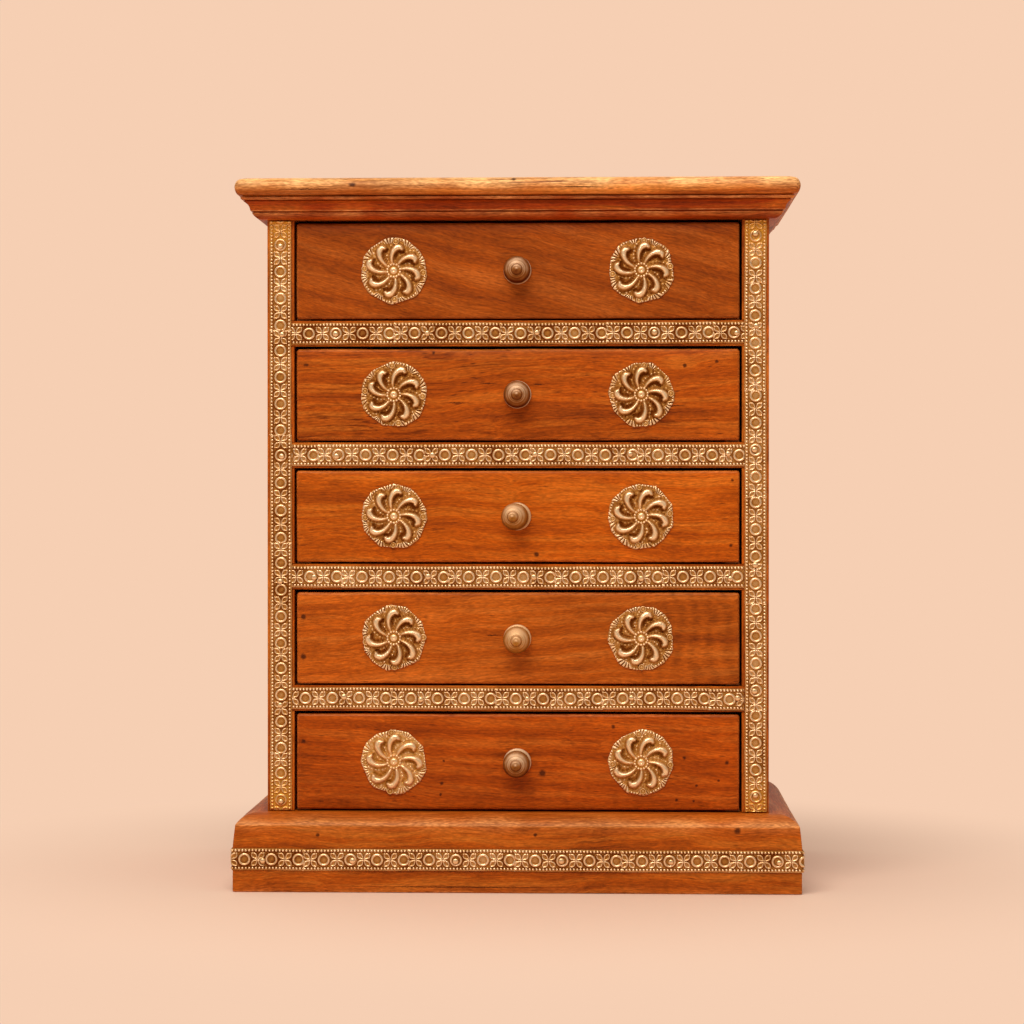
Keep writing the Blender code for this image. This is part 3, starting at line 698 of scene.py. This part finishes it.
def strip_course(name, along, fold):
    """Points on a strip's seat and the ways out from it, at distances along it in mm."""
    low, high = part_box(name)
    along = np.asarray(along) * MM
    points, outs = np.zeros((len(along), 3)), np.zeros((len(along), 3))
    points[:], outs[:] = (low + high) / 2, (0.0, -1.0, 0.0)
    points[:, 1] = high.y
    if name.startswith("rail"):
        points[:, 0] = along
    elif name == "left_post_strip":
        points[:, 2] = high.z - along
    elif name == "right_post_strip":
        points[:, 2] = low.z + along
    else:
        flat, far, side = high.x - STRIP_THICK - fold, np.abs(along), np.sign(along)
        swing = np.clip((far - flat) / fold, 0, math.pi / 2)
        points[:, 0] = side * (np.minimum(far, flat) + fold * np.sin(swing))
        beyond = np.clip(far - flat - fold * math.pi / 2, 0, None)
        points[:, 1] = low.y + STRIP_THICK + fold * (1 - np.cos(swing)) + beyond
        outs[:, 0], outs[:, 1] = side * np.sin(swing), -np.cos(swing)
    return points, outs


def strip_pattern(along, across, seams, brass):
    """Height from 0 to 1 and tarnish level of the stamped pattern, at places on a strip in mm."""
    ragged = along + 0.2 * np.sin(across * 1.7) + 0.12 * np.sin(across * 4.1 + 1.0)
    segment = np.clip(np.searchsorted(seams, ragged) - 1, 0, len(seams) - 2)
    start = np.array(seams)[segment]
    pitch = (np.array(seams)[segment + 1] - start - FIRST_RING - LAST_GAP) / (SEGMENT_RINGS - 1)
    place = (along - start - FIRST_RING) / pitch
    # A dished ring
    near = np.clip(np.round(place), -1, SEGMENT_RINGS - 1)
    far = np.hypot((place - near) * pitch, across)
    size, line = brass.ring / MM, brass.ring_line / MM
    ring, ring_foot = ridge(far - size, line), ridge(far - size, 1.9 * line)
    dish = unit(1 - (far / size) ** 2)
    # Four outlined leaves between two rings
    flower = np.clip(np.floor(place), -1, SEGMENT_RINGS - 2) + 0.5
    x, y = np.abs(place - flower) * pitch, np.abs(across)
    run, off = (x + y) / math.sqrt(2), np.abs(x - y) / math.sqrt(2)
    share = (run - LEAF_START) / (brass.leaf / MM)
    inside = unit(share)
    half = brass.leaf_half / MM * np.sin(math.pi * inside**1.3) ** 0.7
    line = brass.leaf_line / MM
    reach = (share > -0.08) * (share < 1.08)
    leaf, leaf_foot = ridge(off - half, line) * reach, ridge(off - half, 2.2 * line) * reach
    heart = (off < half) * (inside == share)
    # A row of beads along each edge, and a plain margin
    bead_pitch = pitch / BEADS_PER_RING
    beat = ((along - start) / bead_pitch) % 1.0 - 0.5
    far = np.hypot(beat * bead_pitch, y - brass.bead_line / MM) / (brass.bead / MM)
    bead, bead_foot = np.sqrt(unit(1 - far**2)), unit(1.9 - far)
    margin = unit((y - brass.bead_line / MM - 0.3) / 0.3) + 0 * x
    # Each segment's start lies on the end of the one before
    lap = ragged - start
    seam = hump(lap - 0.2, 0.3)
    height = np.maximum.reduce([ring, 0.8 * leaf, 0.95 * bead, 0.3 * dish, 0.08 * heart])
    height = height + 0.35 * np.exp(-lap / 1.1)
    # Tarnish and painted shade: the ground is painted darkest along the foot of the pattern
    ground = 0.30 - 0.32 * np.maximum.reduce([ring_foot, leaf_foot, bead_foot])
    level = np.maximum.reduce([
        ground, ring, 0.92 * leaf, bead, 0.42 * dish, 0.36 * heart, 0.42 * margin, 0.85 * seam])
    return height, level


def strip_parts(name, brass, seed):
    """Mesh of one pressed strip: a relief on a thin sheet, closed behind."""
    draw = np.random.default_rng(seed)
    first, last = strip_span(name, brass.fold)
    seams, _, rubbed = STRIPS[name]
    seams = (seams[0] - SEGMENT, *seams, seams[-1] + SEGMENT)
    low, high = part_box(name)
    width = (high.x - low.x if is_upright(name) else high.z - low.z) / MM
    step = brass.step / MM
    along = np.linspace(first, last, int((last - first) / step))
    across = np.linspace(-width / 2, width / 2, int(width / step))
    height, level = strip_pattern(along[:, None], across[None, :], seams, brass)
    shift = draw.uniform(-SEGMENT_SHIFT, SEGMENT_SHIFT, len(seams))
    shift = shift[np.clip(np.searchsorted(seams, along) - 1, 0, None)]
    seat, outs = strip_course(name, along, brass.fold)
    way = np.array((1.0, 0.0, 0.0) if is_upright(name) else (0.0, 0.0, 1.0))
    shift = shift + 0.16 * wander(seat, 0.05, seed)
    points = seat[:, None, :] + way * ((across[None, :] + shift[:, None]) * MM)[..., None]
    rise = brass.sheet + brass.relief * height + 0.00008 * wander(points, 0.016, seed + 1)
    top = points + outs[:, None, :] * rise[..., None]
    rows = np.concatenate([points[:, :1], top, points[:, -1:]], 1)
    level = np.pad(1.12 * level - 0.04 + rubbed + 0.12 * wander(points, 0.02, seed + 2), ((0, 0), (1, 1)))
    clean = np.zeros_like(level)
    if is_upright(name):
        ends = hump(along - first, RUBBED_ENDS[0]) + hump(last - along, RUBBED_ENDS[1])
        clean += unit(0.05 + 0.85 * ends)[:, None]
    return loft(rows, relief=level, clean=clean)


def snipped_rim(size, angle, draw):
    """Radius of a rosette at each angle; it was cut out by hand in short straight snips."""
    rim = np.full(len(angle), size)
    for chord in np.linspace(0, FULL_TURN, SNIPS, endpoint=False) + draw.uniform(-0.2, 0.2, SNIPS):
        off = np.cos(angle - chord)
        cut = size * draw.uniform(0.92, 0.995) / np.maximum(off, 0.2)
        rim = np.minimum(rim, np.where(off > 0.8, cut, size))
    return rim


def nearest_arm(x, y, size, turn, draw):
    """Distance to the nearest arm's middle line, whether inside its hook, and how far along the arm."""
    line = smooth_line(ARM, 24)
    best, inner, run = np.full(x.shape, np.inf), np.zeros(x.shape), np.zeros(x.shape)
    for arm in range(ROSETTE_ARMS):
        bearing = math.radians(turn + ARM_TURN * arm) - np.radians(line[:, 1]) + draw.uniform(-0.06, 0.06)
        reach = line[:, 0] * size * draw.uniform(0.94, 1.03)
        px, py = reach * np.cos(bearing), reach * np.sin(bearing)
        for i in range(len(px) - 1):
            dx, dy = px[i + 1] - px[i], py[i + 1] - py[i]
            share = unit(((x - px[i]) * dx + (y - py[i]) * dy) / (dx * dx + dy * dy))
            ox, oy = x - px[i] - share * dx, y - py[i] - share * dy
            far = np.hypot(ox, oy)
            closer = far < best
            best = np.where(closer, far, best)
            inner = np.where(closer, ox * dy - oy * dx > 0, inner)
            run = np.where(closer, (i + share) / (len(px) - 1), run)
    return best, inner > 0, run


def rim_fans(r, a, size, turn, draw):
    """Height of the fans of rays that fill the rim between the arms' heads, and where the fans are."""
    ray, fans = np.zeros(r.shape), np.zeros(r.shape)
    for fan in range(ROSETTE_ARMS):
        off = a - math.radians(turn + ARM_TURN * fan - 42) - draw.uniform(-0.09, 0.09)
        spread = np.arctan2(r * np.sin(off), r * np.cos(off) - draw.uniform(0.66, 0.74) * size)
        wide = unit((draw.uniform(0.7, 0.95) - np.abs(spread)) / 0.15) * unit((r / size - 0.80) / 0.05)
        fans = np.maximum(fans, wide)
        strength = draw.uniform(0.6, 1.0)
        ray += wide * strength * np.clip(1.6 * np.cos(spread * draw.uniform(15, 19)) + 0.85, -0.5, 1)
    return ray, fans


def beaded_boss(r, a):
    """Where a rosette's boss is, its ring of beads, and its dimpled dome."""
    boss = unit((BOSS - r) / 0.5)
    beat = (a * BOSS_BEADS / FULL_TURN) % 1 - 0.5
    far = np.hypot(r - BEAD_RING, r * beat * FULL_TURN / BOSS_BEADS) / BOSS_BEAD
    dome = np.sqrt(unit(1 - (r / DOME) ** 2)) - 0.5 * hump(r, 0.55)
    return boss, np.sqrt(unit(1 - far**2)), dome


def rosette_parts(middle, radius, turn, rubbed, brass, seed):
    """Mesh of one stamped rosette: a pinwheel of hooked arms round a beaded boss."""
    draw = np.random.default_rng(seed)
    size = radius / MM
    angle = np.linspace(0, FULL_TURN, FACETS, endpoint=False)
    rim = snipped_rim(size, angle, draw)
    shares = np.linspace(1.0, 0.006, LOOPS)
    x, y = (shares[:, None] * (rim * f(angle))[None, :] for f in (np.cos, np.sin))
    r, a = np.hypot(x, y), np.arctan2(y, x)

    # An arm swells towards its head, falls gently on its round side and steeply into the hollow of its hook
    best, inner, run = nearest_arm(x, y, size, turn, draw)
    half = np.interp(run, ARM_RUNS, ARM_HALVES)
    beside = best - half
    fall = unit(beside / np.where(inner, 0.8, 1.3))
    arm = (1 - fall * fall * (3 - 2 * fall)) * (1 - 0.2 * unit(best / half) ** 2)
    arm *= np.interp(run, (0, 0.12, 0.45, 1), (0.4, 0.7, 1.0, 0.85)) * unit(0.97 * size - r)
    # Painted highlight: a pale line is painted along each arm's crest, on top of its rubbing
    crest = arm * hump(best, 0.3 + 0.55 * half)
    clear = 1 - unit(arm * 3)
    field = unit(0.88 * size - r)
    # The hollow inside each hook is cut deeper and also painted darker as shade
    hollow = np.where(inner, hump(beside - 1.4, 1.1), 0) * field
    hollow *= np.interp(run, (0, 0.2, 0.45, 1), (0.0, 0.7, 1, 1))
    # A dark line of painted shade runs round the foot of each arm, and strings of dots follow its round side
    outline = hump(beside - 1.2, 0.55) * field * np.interp(run, (0, 0.3), (0.3, 1))
    beat = np.cos(FULL_TURN * run * ARM_LENGTH * size / DOT_PITCH)
    strings = np.where(inner, 0, np.cos(FULL_TURN * (beside - FIRST_STRING) / STRING_PITCH)) * (beside > 1.7)
    dots = unit(strings + 0.2) * unit(beat + 0.35) * (0.7 + 0.3 * np.cos(3 * a + seed)) * field * clear
    # A fine rope runs round the rim between the fans of rays
    ray, fans = rim_fans(r, a, size, turn, draw)
    ray *= clear
    rope = ridge(r - ROPE_REACH * size, ROPE_HALF) * np.clip(0.7 + 1.2 * np.cos(ROPE_TWISTS * a), -0.3, 1)
    rope = rope * (1 - fans) * clear
    lip = unit((shares[:, None] - 0.965) / 0.03)
    places = np.stack([x, np.zeros_like(x), y], -1) * MM
    rough = wander(places, 0.0017, seed)
    height = 0.95 - 0.45 * (r / size) ** 2 + brass.arm / MM * arm - 0.8 * hollow
    height += 0.6 * ray + 0.5 * dots + 0.55 * rope
    height += (0.10 * rough + 0.10 * wander(places, 0.004, seed + 1)) * (1 - 0.6 * arm)
    height = np.maximum(height, 0.15) * (1 - 0.4 * lip)
    level = 0.14 + 0.48 * arm**1.3 + 0.46 * crest - 0.2 * hollow - 0.16 * outline
    level += 0.76 * ray + 0.6 * dots + 0.85 * rope + 0.2 * lip + 0.09 * rough * (1 - arm)

    boss, bead, dome = beaded_boss(r, a)
    height = height * (1 - boss) + boss * (1.7 + np.maximum(0.75 * bead, 1.1 * dome))
    level = level * (1 - boss) + boss * (0.05 + 0.95 * np.maximum(bead, unit(dome)))

    rows = np.stack([x * MM, -height * MM, y * MM], -1)
    back = np.stack([x[:1] * MM, np.zeros_like(x[:1]), y[:1] * MM], -1)
    rows = np.concatenate([back, rows]) + np.array(middle)
    level = np.concatenate([level[:1] * 0.5, level]) + rubbed
    clean = 0.04 + max(0.0, rubbed - USUAL_RUB) + 0.16 * np.concatenate([boss[:1], boss])
    return loft(rows, relief=level, clean=clean)


def pin_parts(at, profile, radius):
    """Mesh of one pin head on its seat."""
    rows = [(rise * MM, share * radius) for rise, share, _ in profile]
    return lathe(rows, at, PIN_FACETS, relief=np.array(profile)[:, 2:], clean=PIN_CLEAN)


def floor_mesh():
    """Mesh of the floor, a square grid under the chest."""
    mesh = bpy.data.meshes.new("floor")
    row = FLOOR_CELLS + 1
    ticks = np.linspace(-FLOOR_HALF, FLOOR_HALF, row)
    points = [(x, y, -FLOOR_DROP) for y in ticks for x in ticks]
    corners = [row * j + i for j in range(FLOOR_CELLS) for i in range(FLOOR_CELLS)]
    mesh.from_pydata(points, [], [(n, n + 1, n + row + 1, n + row) for n in corners])
    return mesh


def matt_paper(stage):
    """Pale matt paper: it shows a soft shadow near the chest, and far off it turns into the even backdrop."""
    material, shader, node = start_material("matt paper, pale", {
        "Base Color": stage.floor, "Roughness": 0.9, "Specular IOR Level": 0.1})
    at = node("TexCoord", out="Object")
    far = node("VectorMath", (at,), out="Value", operation="LENGTH")
    fade = node("MapRange", (far, SHADOW_NEAR, SHADOW_FAR), interpolation_type="SMOOTHSTEP")
    seen = node("LightPath", out=None)
    direct = node("Math", (seen["Is Camera Ray"], seen["Is Glossy Ray"]), operation="MAXIMUM")
    share = node("Math", (fade, direct), operation="MULTIPLY")
    paper = node("Emission", {"Color": stage.backdrop, "Strength": 1.0})
    mixed = node("MixShader", (share, shader.outputs[0], paper))
    feed(material.node_tree.nodes["Material Output"], {"Surface": mixed})
    return material


def studio(stage):
    """Even backdrop for the camera; for the light and the brass, a room brighter overhead than in front."""
    world = bpy.data.worlds.new("studio")
    world.use_nodes = True
    world.node_tree.nodes.clear()
    node = functools.partial(add, world.node_tree)
    way = node("TexCoord", out="Generated")
    _, along, up = node("SeparateXYZ", (way,), out=None)
    lift = node("MapRange", (up, -0.1, 0.9, 0.7 * stage.sky, 2.0 * stage.sky))
    front = node("MapRange", (along, -0.9, 0.1, 0.45, 1.0))
    lift = node("Math", (lift, front), operation="MULTIPLY")
    room = node("Background", {"Color": stage.room, "Strength": lift})
    paper = node("Background", {"Color": stage.backdrop, "Strength": 1.0})
    seen = node("LightPath", out="Is Camera Ray")
    mixed = node("MixShader", (seen, room, paper))
    node("OutputWorld", {"Surface": mixed}, out=None)
    return world


class CHEST_OT_boards(bpy.types.Operator):
    """Dress the sides, back, shelves and rails of the cabinet"""

    bl_idname = "chest.boards"
    bl_label = "Cabinet boards"

    def execute(self, context):
        wood = context.scene.chest_wood
        tones = (wood.pale, wood.main, wood.dark)
        upright = teak("oiled teak, upright boards", tones, ALONG_Z, 3)
        level = teak("oiled teak, shelves", tones, ALONG_X, 5)
        for name in ("left_side", "right_side", "back_panel"):
            dress_node(name, upright, wood.edge)
        for name in ("carcass_bottom", "carcass_top", *[f"divider_{n}" for n in range(1, 5)]):
            dress_node(name, level, wood.edge)
        return {"FINISHED"}


class CHEST_OT_drawer_boxes(bpy.types.Operator):
    """Dress the sides, backs and bottoms of the drawers"""

    bl_idname = "chest.drawer_boxes"
    bl_label = "Drawer boxes"

    def execute(self, context):
        wood = context.scene.chest_wood
        tones = (wood.box_pale, wood.box_main, wood.box_dark)
        sides = teak("bare wood, drawer sides", tones, ALONG_Y, 7, streaks=0.4)
        backs = teak("bare wood, drawer backs", tones, ALONG_X, 8, streaks=0.4)
        boards = {"left_side": sides, "right_side": sides, "back": backs, "bottom": backs}
        for n in DRAWERS:
            for board, material in boards.items():
                dress_node(f"drawer_{n}_{board}", material, wood.edge)
        return {"FINISHED"}


class CHEST_OT_drawer_fronts(bpy.types.Operator):
    """Make the five drawer fronts"""

    bl_idname = "chest.drawer_fronts"
    bl_label = "Drawer fronts"

    def execute(self, context):
        wood = context.scene.chest_wood
        inset, edge = wood.back_inset, wood.edge
        for n in DRAWERS:
            codes, tilt, streaks, pores, drift, marks = FRONTS[n]
            tones = [linear(code) for code in codes]
            material = teak(f"oiled teak, drawer {n}", tones, ALONG_X, 10 + n, streaks, pores, tilt, marks,
                            ripple=n == RIPPLED_DRAWER, drift=drift)
            node = f"drawer_{n}_front"
            low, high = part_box(node)
            lap = low.y + wood.lap
            face = eased_board(low, (high.x, lap, high.z), wood.ease, FACE_PITCH, wood.hand, n)
            face[2]["wear"][:] *= 0.3
            rear = eased_board((low.x + inset, lap - edge, low.z), (high.x - inset, high.y, high.z), edge,
                               REAR_PITCH, 0.0, n)
            rear[2]["wear"][:] = 0
            add_piece(f"drawer_{n}_front_board", [face, rear], material, f"drawer_{n}", [node])
        return {"FINISHED"}


class CHEST_OT_lid(bpy.types.Operator):
    """Make the bullnosed top board"""

    bl_idname = "chest.lid"
    bl_label = "Top board"

    def execute(self, context):
        wood = context.scene.chest_wood
        low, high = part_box("lid")
        nose = np.vstack([smooth_line(NOSE, 19), *[(out, NOSE[-1][1]) for out in LID_FLAT]])
        rows = []
        for out, rise in nose * MM:
            outline = lid_outline(high.x + out - LID_CORNER, low.y - out + LID_CORNER)
            rows.append([(x, y, low.z + rise) for x, y in outline])
        rows = np.array(rows)
        stray = wood.hand * (wander(rows, 0.05, 40) + 0.8 * wander(rows, 0.015, 41))
        rows[..., 1] -= np.where(rows[..., 1] < FRONT, stray, 0)
        rows[..., 0] += np.where(np.abs(rows[..., 0]) > HALF_WIDTH, np.sign(rows[..., 0]) * stray, 0)
        rows[2:-4, :, 2] += 0.6 * stray[2:-4]
        # The upper half of the nose and the flat top behind it are rubbed and painted lighter as a highlight,
        # where light from above falls, and the lower edge of the nose is rubbed a little
        rise = nose[:, 1]
        wear = 1.45 * unit((rise - 1.8) / 4.6) + 0.25 * hump(rise - 0.8, 0.6)
        wear[-3:] = (0.9, 0.6, 0.5)
        wear = np.clip(wear[:, None] * (1 + 0.5 * wander(rows, 0.03, 42)), 0, 2)
        tones = (wood.lid_pale, wood.lid_main, wood.lid_dark)
        material = teak("worn teak, top board", tones, ALONG_X, 21, streaks=0.75, pores=0.55, marks=LID_MARKS,
                        drift=(0.9, 1.1), worn_and_lit=wood.lid_lit_and_worn, stray=4.0)
        add_piece("lid_board", [loft(rows, wear=wear)], material, "carcass", ["lid"], sharp=50)
        return {"FINISHED"}


class CHEST_OT_cornice(bpy.types.Operator):
    """Make the three mitred lengths of cornice"""

    bl_idname = "chest.cornice"
    bl_label = "Cornice"

    def execute(self, context):
        wood = context.scene.chest_wood
        low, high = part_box("cornice")
        foot, top = low.z / MM, high.z / MM
        # Distance out from the cabinet, height, and wear with painted highlight: ovolo, groove, fillet, cove,
        # groove and bead
        section = [(MOULDING_BACK, top, 0), (MOULDING_BACK, foot, 0)]
        # Painted highlight as well as wear: the ovolo is painted lighter towards its top, where light from
        # above falls
        ovolo = bow((2.3, foot), (8.0, foot + 3.8), 0.95, 0.9)
        section += [(out, level, wear * (i / ARC_STEPS) ** 2) for i, (out, level, wear) in enumerate(ovolo)]
        section += [(7.2, foot + 4.0, 0), (7.2, foot + 4.6, 0)]
        # Painted highlight as well as wear: the arris of this fillet and the bead at the top are painted
        # bright
        section += [(8.6, foot + 4.7, 1.0), (8.8, foot + 5.0, 1.1)]
        section += bow((8.9, foot + 5.4), (12.3, foot + 10.0), -0.75, 0.04)
        section += [(11.6, foot + 10.2, 0), (11.6, foot + 10.7, 0)]
        section += bow((12.8, foot + 10.8), (13.3, top - 0.1), 0.75, 0.9) + [(12.6, top, 0)]
        tones = (wood.cornice_pale, wood.cornice_main, wood.cornice_dark)
        add_mouldings("cornice", section, tones, 31, 0.7, 50)
        return {"FINISHED"}


class CHEST_OT_plinth(bpy.types.Operator):
    """Make the three mitred lengths of plinth"""

    bl_idname = "chest.plinth"
    bl_label = "Plinth"

    def execute(self, context):
        wood = context.scene.chest_wood
        foot, arris, rounded = PLINTH_WEAR_AND_HIGHLIGHT
        # Distance out from the cabinet, height, and wear: foot, upright face, leaning face, arris and round.
        # On the arris and round the wear is also a painted highlight, where light from above falls
        section = [(MOULDING_BACK, PLINTH_TOP, 0), (MOULDING_BACK, 0, 0)]
        section += [(17.4, 0, foot), (17.8, 0.2, foot), (18.0, 0.6, foot), (18.0, 1.5, 0.1)]
        section += [(18.0, z, 0) for z in (6, 13, 20, 27)] + [(17.4, 33.0, 0), (16.9, 37.4, 0.25)]
        for i, (out, level, wear) in enumerate(bow((16.8, 38.4), (5.3, PLINTH_TOP), 1.63, rounded)):
            section.append((out, level, arris * math.exp(-i * 0.9) + wear * math.exp(-i * 0.35)))
        section.append((3.0, PLINTH_TOP, 0))
        tones = (wood.pale, wood.main, wood.dark)
        add_mouldings("plinth", section, tones, 33, 0.6, 60, marks=PLINTH_MARKS)
        return {"FINISHED"}


class CHEST_OT_strips(bpy.types.Operator):
    """Press the seven brass strips"""

    bl_idname = "chest.strips"
    bl_label = "Brass strips"

    def execute(self, context):
        material = pressed_brass(STRIP_BRASS, 0.85)
        for seed, name in enumerate(STRIPS):
            parts = strip_parts(name, context.scene.chest_brass, 70 + seed)
            add_piece(f"{name}_pressed", [parts], material, "carcass", [name], sharp=75)
        return {"FINISHED"}


class CHEST_OT_strip_pins(bpy.types.Operator):
    """Pin the strips"""

    bl_idname = "chest.strip_pins"
    bl_label = "Strip pins"

    def execute(self, context):
        brass = context.scene.chest_brass
        material = bpy.data.materials[STRIP_BRASS]
        draw = np.random.default_rng(90)
        for name, (_, places, _) in STRIPS.items():
            parts = []
            for seat in strip_course(name, places, brass.fold)[0]:
                seat[0 if is_upright(name) else 2] += draw.uniform(-0.0009, 0.0009)
                seat[1] -= brass.sheet + 0.6 * brass.relief
                parts.append(pin_parts(seat, PIN, brass.pin * draw.uniform(0.92, 1.06)))
            add_piece(f"{name}_pins", parts, material, "carcass", sharp=60)
        return {"FINISHED"}


class CHEST_OT_rosettes(bpy.types.Operator):
    """Stamp the ten rosettes and pin them"""

    bl_idname = "chest.rosettes"
    bl_label = "Rosettes"

    def execute(self, context):
        brass = context.scene.chest_brass
        material = pressed_brass("stamped brass, dull and handled", 0.6)
        draw = np.random.default_rng(91)
        for i, (turn, rubbed) in enumerate(zip(ROSETTE_TURNS, ROSETTE_RUBS)):
            n, side = i // 2 + 1, ("left", "right")[i % 2]
            node = f"drawer_{n}_{side}_rosette"
            low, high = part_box(node)
            x, y, z = (low.x + high.x) / 2, high.y, (low.z + high.z) / 2
            radius = (high.x - low.x) / 2
            parts = rosette_parts((x, y, z), radius, turn, rubbed, brass, 100 + i)
            add_piece(f"{node}_stamped", [parts], material, f"drawer_{n}", [node], sharp=75)
            pins = []
            for quarter in range(4):
                swing = math.radians(90 * quarter) + draw.uniform(-0.16, 0.16)
                reach = radius * draw.uniform(0.85, 0.89)
                at = (x + reach * math.cos(swing), y - ROSETTE_PIN_RISE, z + reach * math.sin(swing))
                pins.append(pin_parts(at, FLAT_PIN, brass.flat_pin * draw.uniform(0.93, 1.04)))
            add_piece(f"{node}_pins", pins, material, f"drawer_{n}", sharp=60)
        return {"FINISHED"}


class CHEST_OT_knobs(bpy.types.Operator):
    """Turn the five knobs"""

    bl_idname = "chest.knobs"
    bl_label = "Knobs"

    def execute(self, context):
        material = turned_brass()
        profile = np.vstack([SHANK, smooth_line(KNOB, 80)])
        # Painted light: the upper side of each knob is painted lighter and its lower side darker
        top_light = 0.27 * np.sin(np.linspace(0, FULL_TURN, KNOB_FACETS, endpoint=False))
        for n, (left, down, rubbed) in zip(DRAWERS, KNOB_LEANS):
            node = f"drawer_{n}_knob"
            low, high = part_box(node)
            seat = low.y + KNOB_LENGTH
            at = ((low.x + high.x) / 2, seat, (low.z + high.z) / 2)
            part = lathe(profile[:, :2] * MM, at, KNOB_FACETS, relief=profile[:, 2:] + rubbed + top_light,
                         clean=1.8 * max(0.0, rubbed))
            reach = np.clip(seat - part[0][:, 1:2], 0, None)
            part[0][:] -= reach * np.array((left, 0.0, down))
            add_piece(f"{node}_turned", [part], material, f"drawer_{n}", [node], sharp=50)
        return {"FINISHED"}


class CHEST_OT_stage(bpy.types.Operator):
    """Set the floor, the light and the camera"""

    bl_idname = "chest.stage"
    bl_label = "Stage"

    def execute(self, context):
        scene, stage = context.scene, context.scene.chest_stage
        floor = bpy.data.objects.new("floor", floor_mesh())
        floor.data.materials.append(matt_paper(stage))
        scene.collection.objects.link(floor)
        scene.world = studio(stage)

        lamp = bpy.data.lights.new("key", "AREA")
        lamp.shape, lamp.energy, lamp.color = "RECTANGLE", stage.key, stage.lamp[:3]
        lamp.size, lamp.size_y = KEY_SIZE
        key = bpy.data.objects.new("key", lamp)
        key.location, key.rotation_euler = KEY_AT, KEY_TURN
        scene.collection.objects.link(key)

        lens = bpy.data.cameras.new("camera")
        lens.lens, lens.sensor_width, lens.clip_start, lens.clip_end = stage.lens, 36.0, 0.05, 100.0
        camera = bpy.data.objects.new("camera", lens)
        camera.location, camera.rotation_euler = stage.eye, stage.turn
        scene.collection.objects.link(camera)
        scene.camera = camera
        scene.view_settings.view_transform = "Standard"
        return {"FINISHED"}


class CHEST_PT_pieces(bpy.types.Panel):
    """Sizes, colours and pieces of the chest"""

    bl_idname = "CHEST_PT_pieces"
    bl_label = "Five-drawer chest"
    bl_space_type = "VIEW_3D"
    bl_region_type = "UI"
    bl_category = "Chest"

    def draw(self, context):
        for group in GROUPS:
            box = self.layout.box()
            settings = getattr(context.scene, group)
            for name in settings.__annotations__:
                box.prop(settings, name)
        for operator in OPERATORS:
            self.layout.operator(operator.bl_idname)


GROUPS = {"chest_wood": ChestWood, "chest_brass": ChestBrass, "chest_stage": ChestStage}
OPERATORS = (
    CHEST_OT_boards, CHEST_OT_drawer_boxes, CHEST_OT_drawer_fronts, CHEST_OT_lid, CHEST_OT_cornice,
    CHEST_OT_plinth, CHEST_OT_strips, CHEST_OT_strip_pins, CHEST_OT_rosettes, CHEST_OT_knobs, CHEST_OT_stage,
)


def register():
    """Register the classes and give the scene its settings."""
    for kind in (*GROUPS.values(), *OPERATORS, CHEST_PT_pieces):
        bpy.utils.register_class(kind)
    for name, kind in GROUPS.items():
        setattr(bpy.types.Scene, name, bpy.props.PointerProperty(type=kind))


def unregister():
    """Take the settings and the classes away again."""
    for name in GROUPS:
        delattr(bpy.types.Scene, name)
    for kind in reversed((*GROUPS.values(), *OPERATORS, CHEST_PT_pieces)):
        bpy.utils.unregister_class(kind)


def main():
    """Make every piece in order."""
    register()
    bpy.ops.chest.boards()
    bpy.ops.chest.drawer_boxes()
    bpy.ops.chest.drawer_fronts()
    bpy.ops.chest.lid()
    bpy.ops.chest.cornice()
    bpy.ops.chest.plinth()
    bpy.ops.chest.strips()
    bpy.ops.chest.strip_pins()
    bpy.ops.chest.rosettes()
    bpy.ops.chest.knobs()
    bpy.ops.chest.stage()
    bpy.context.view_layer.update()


if __name__ == "__main__":
    main()
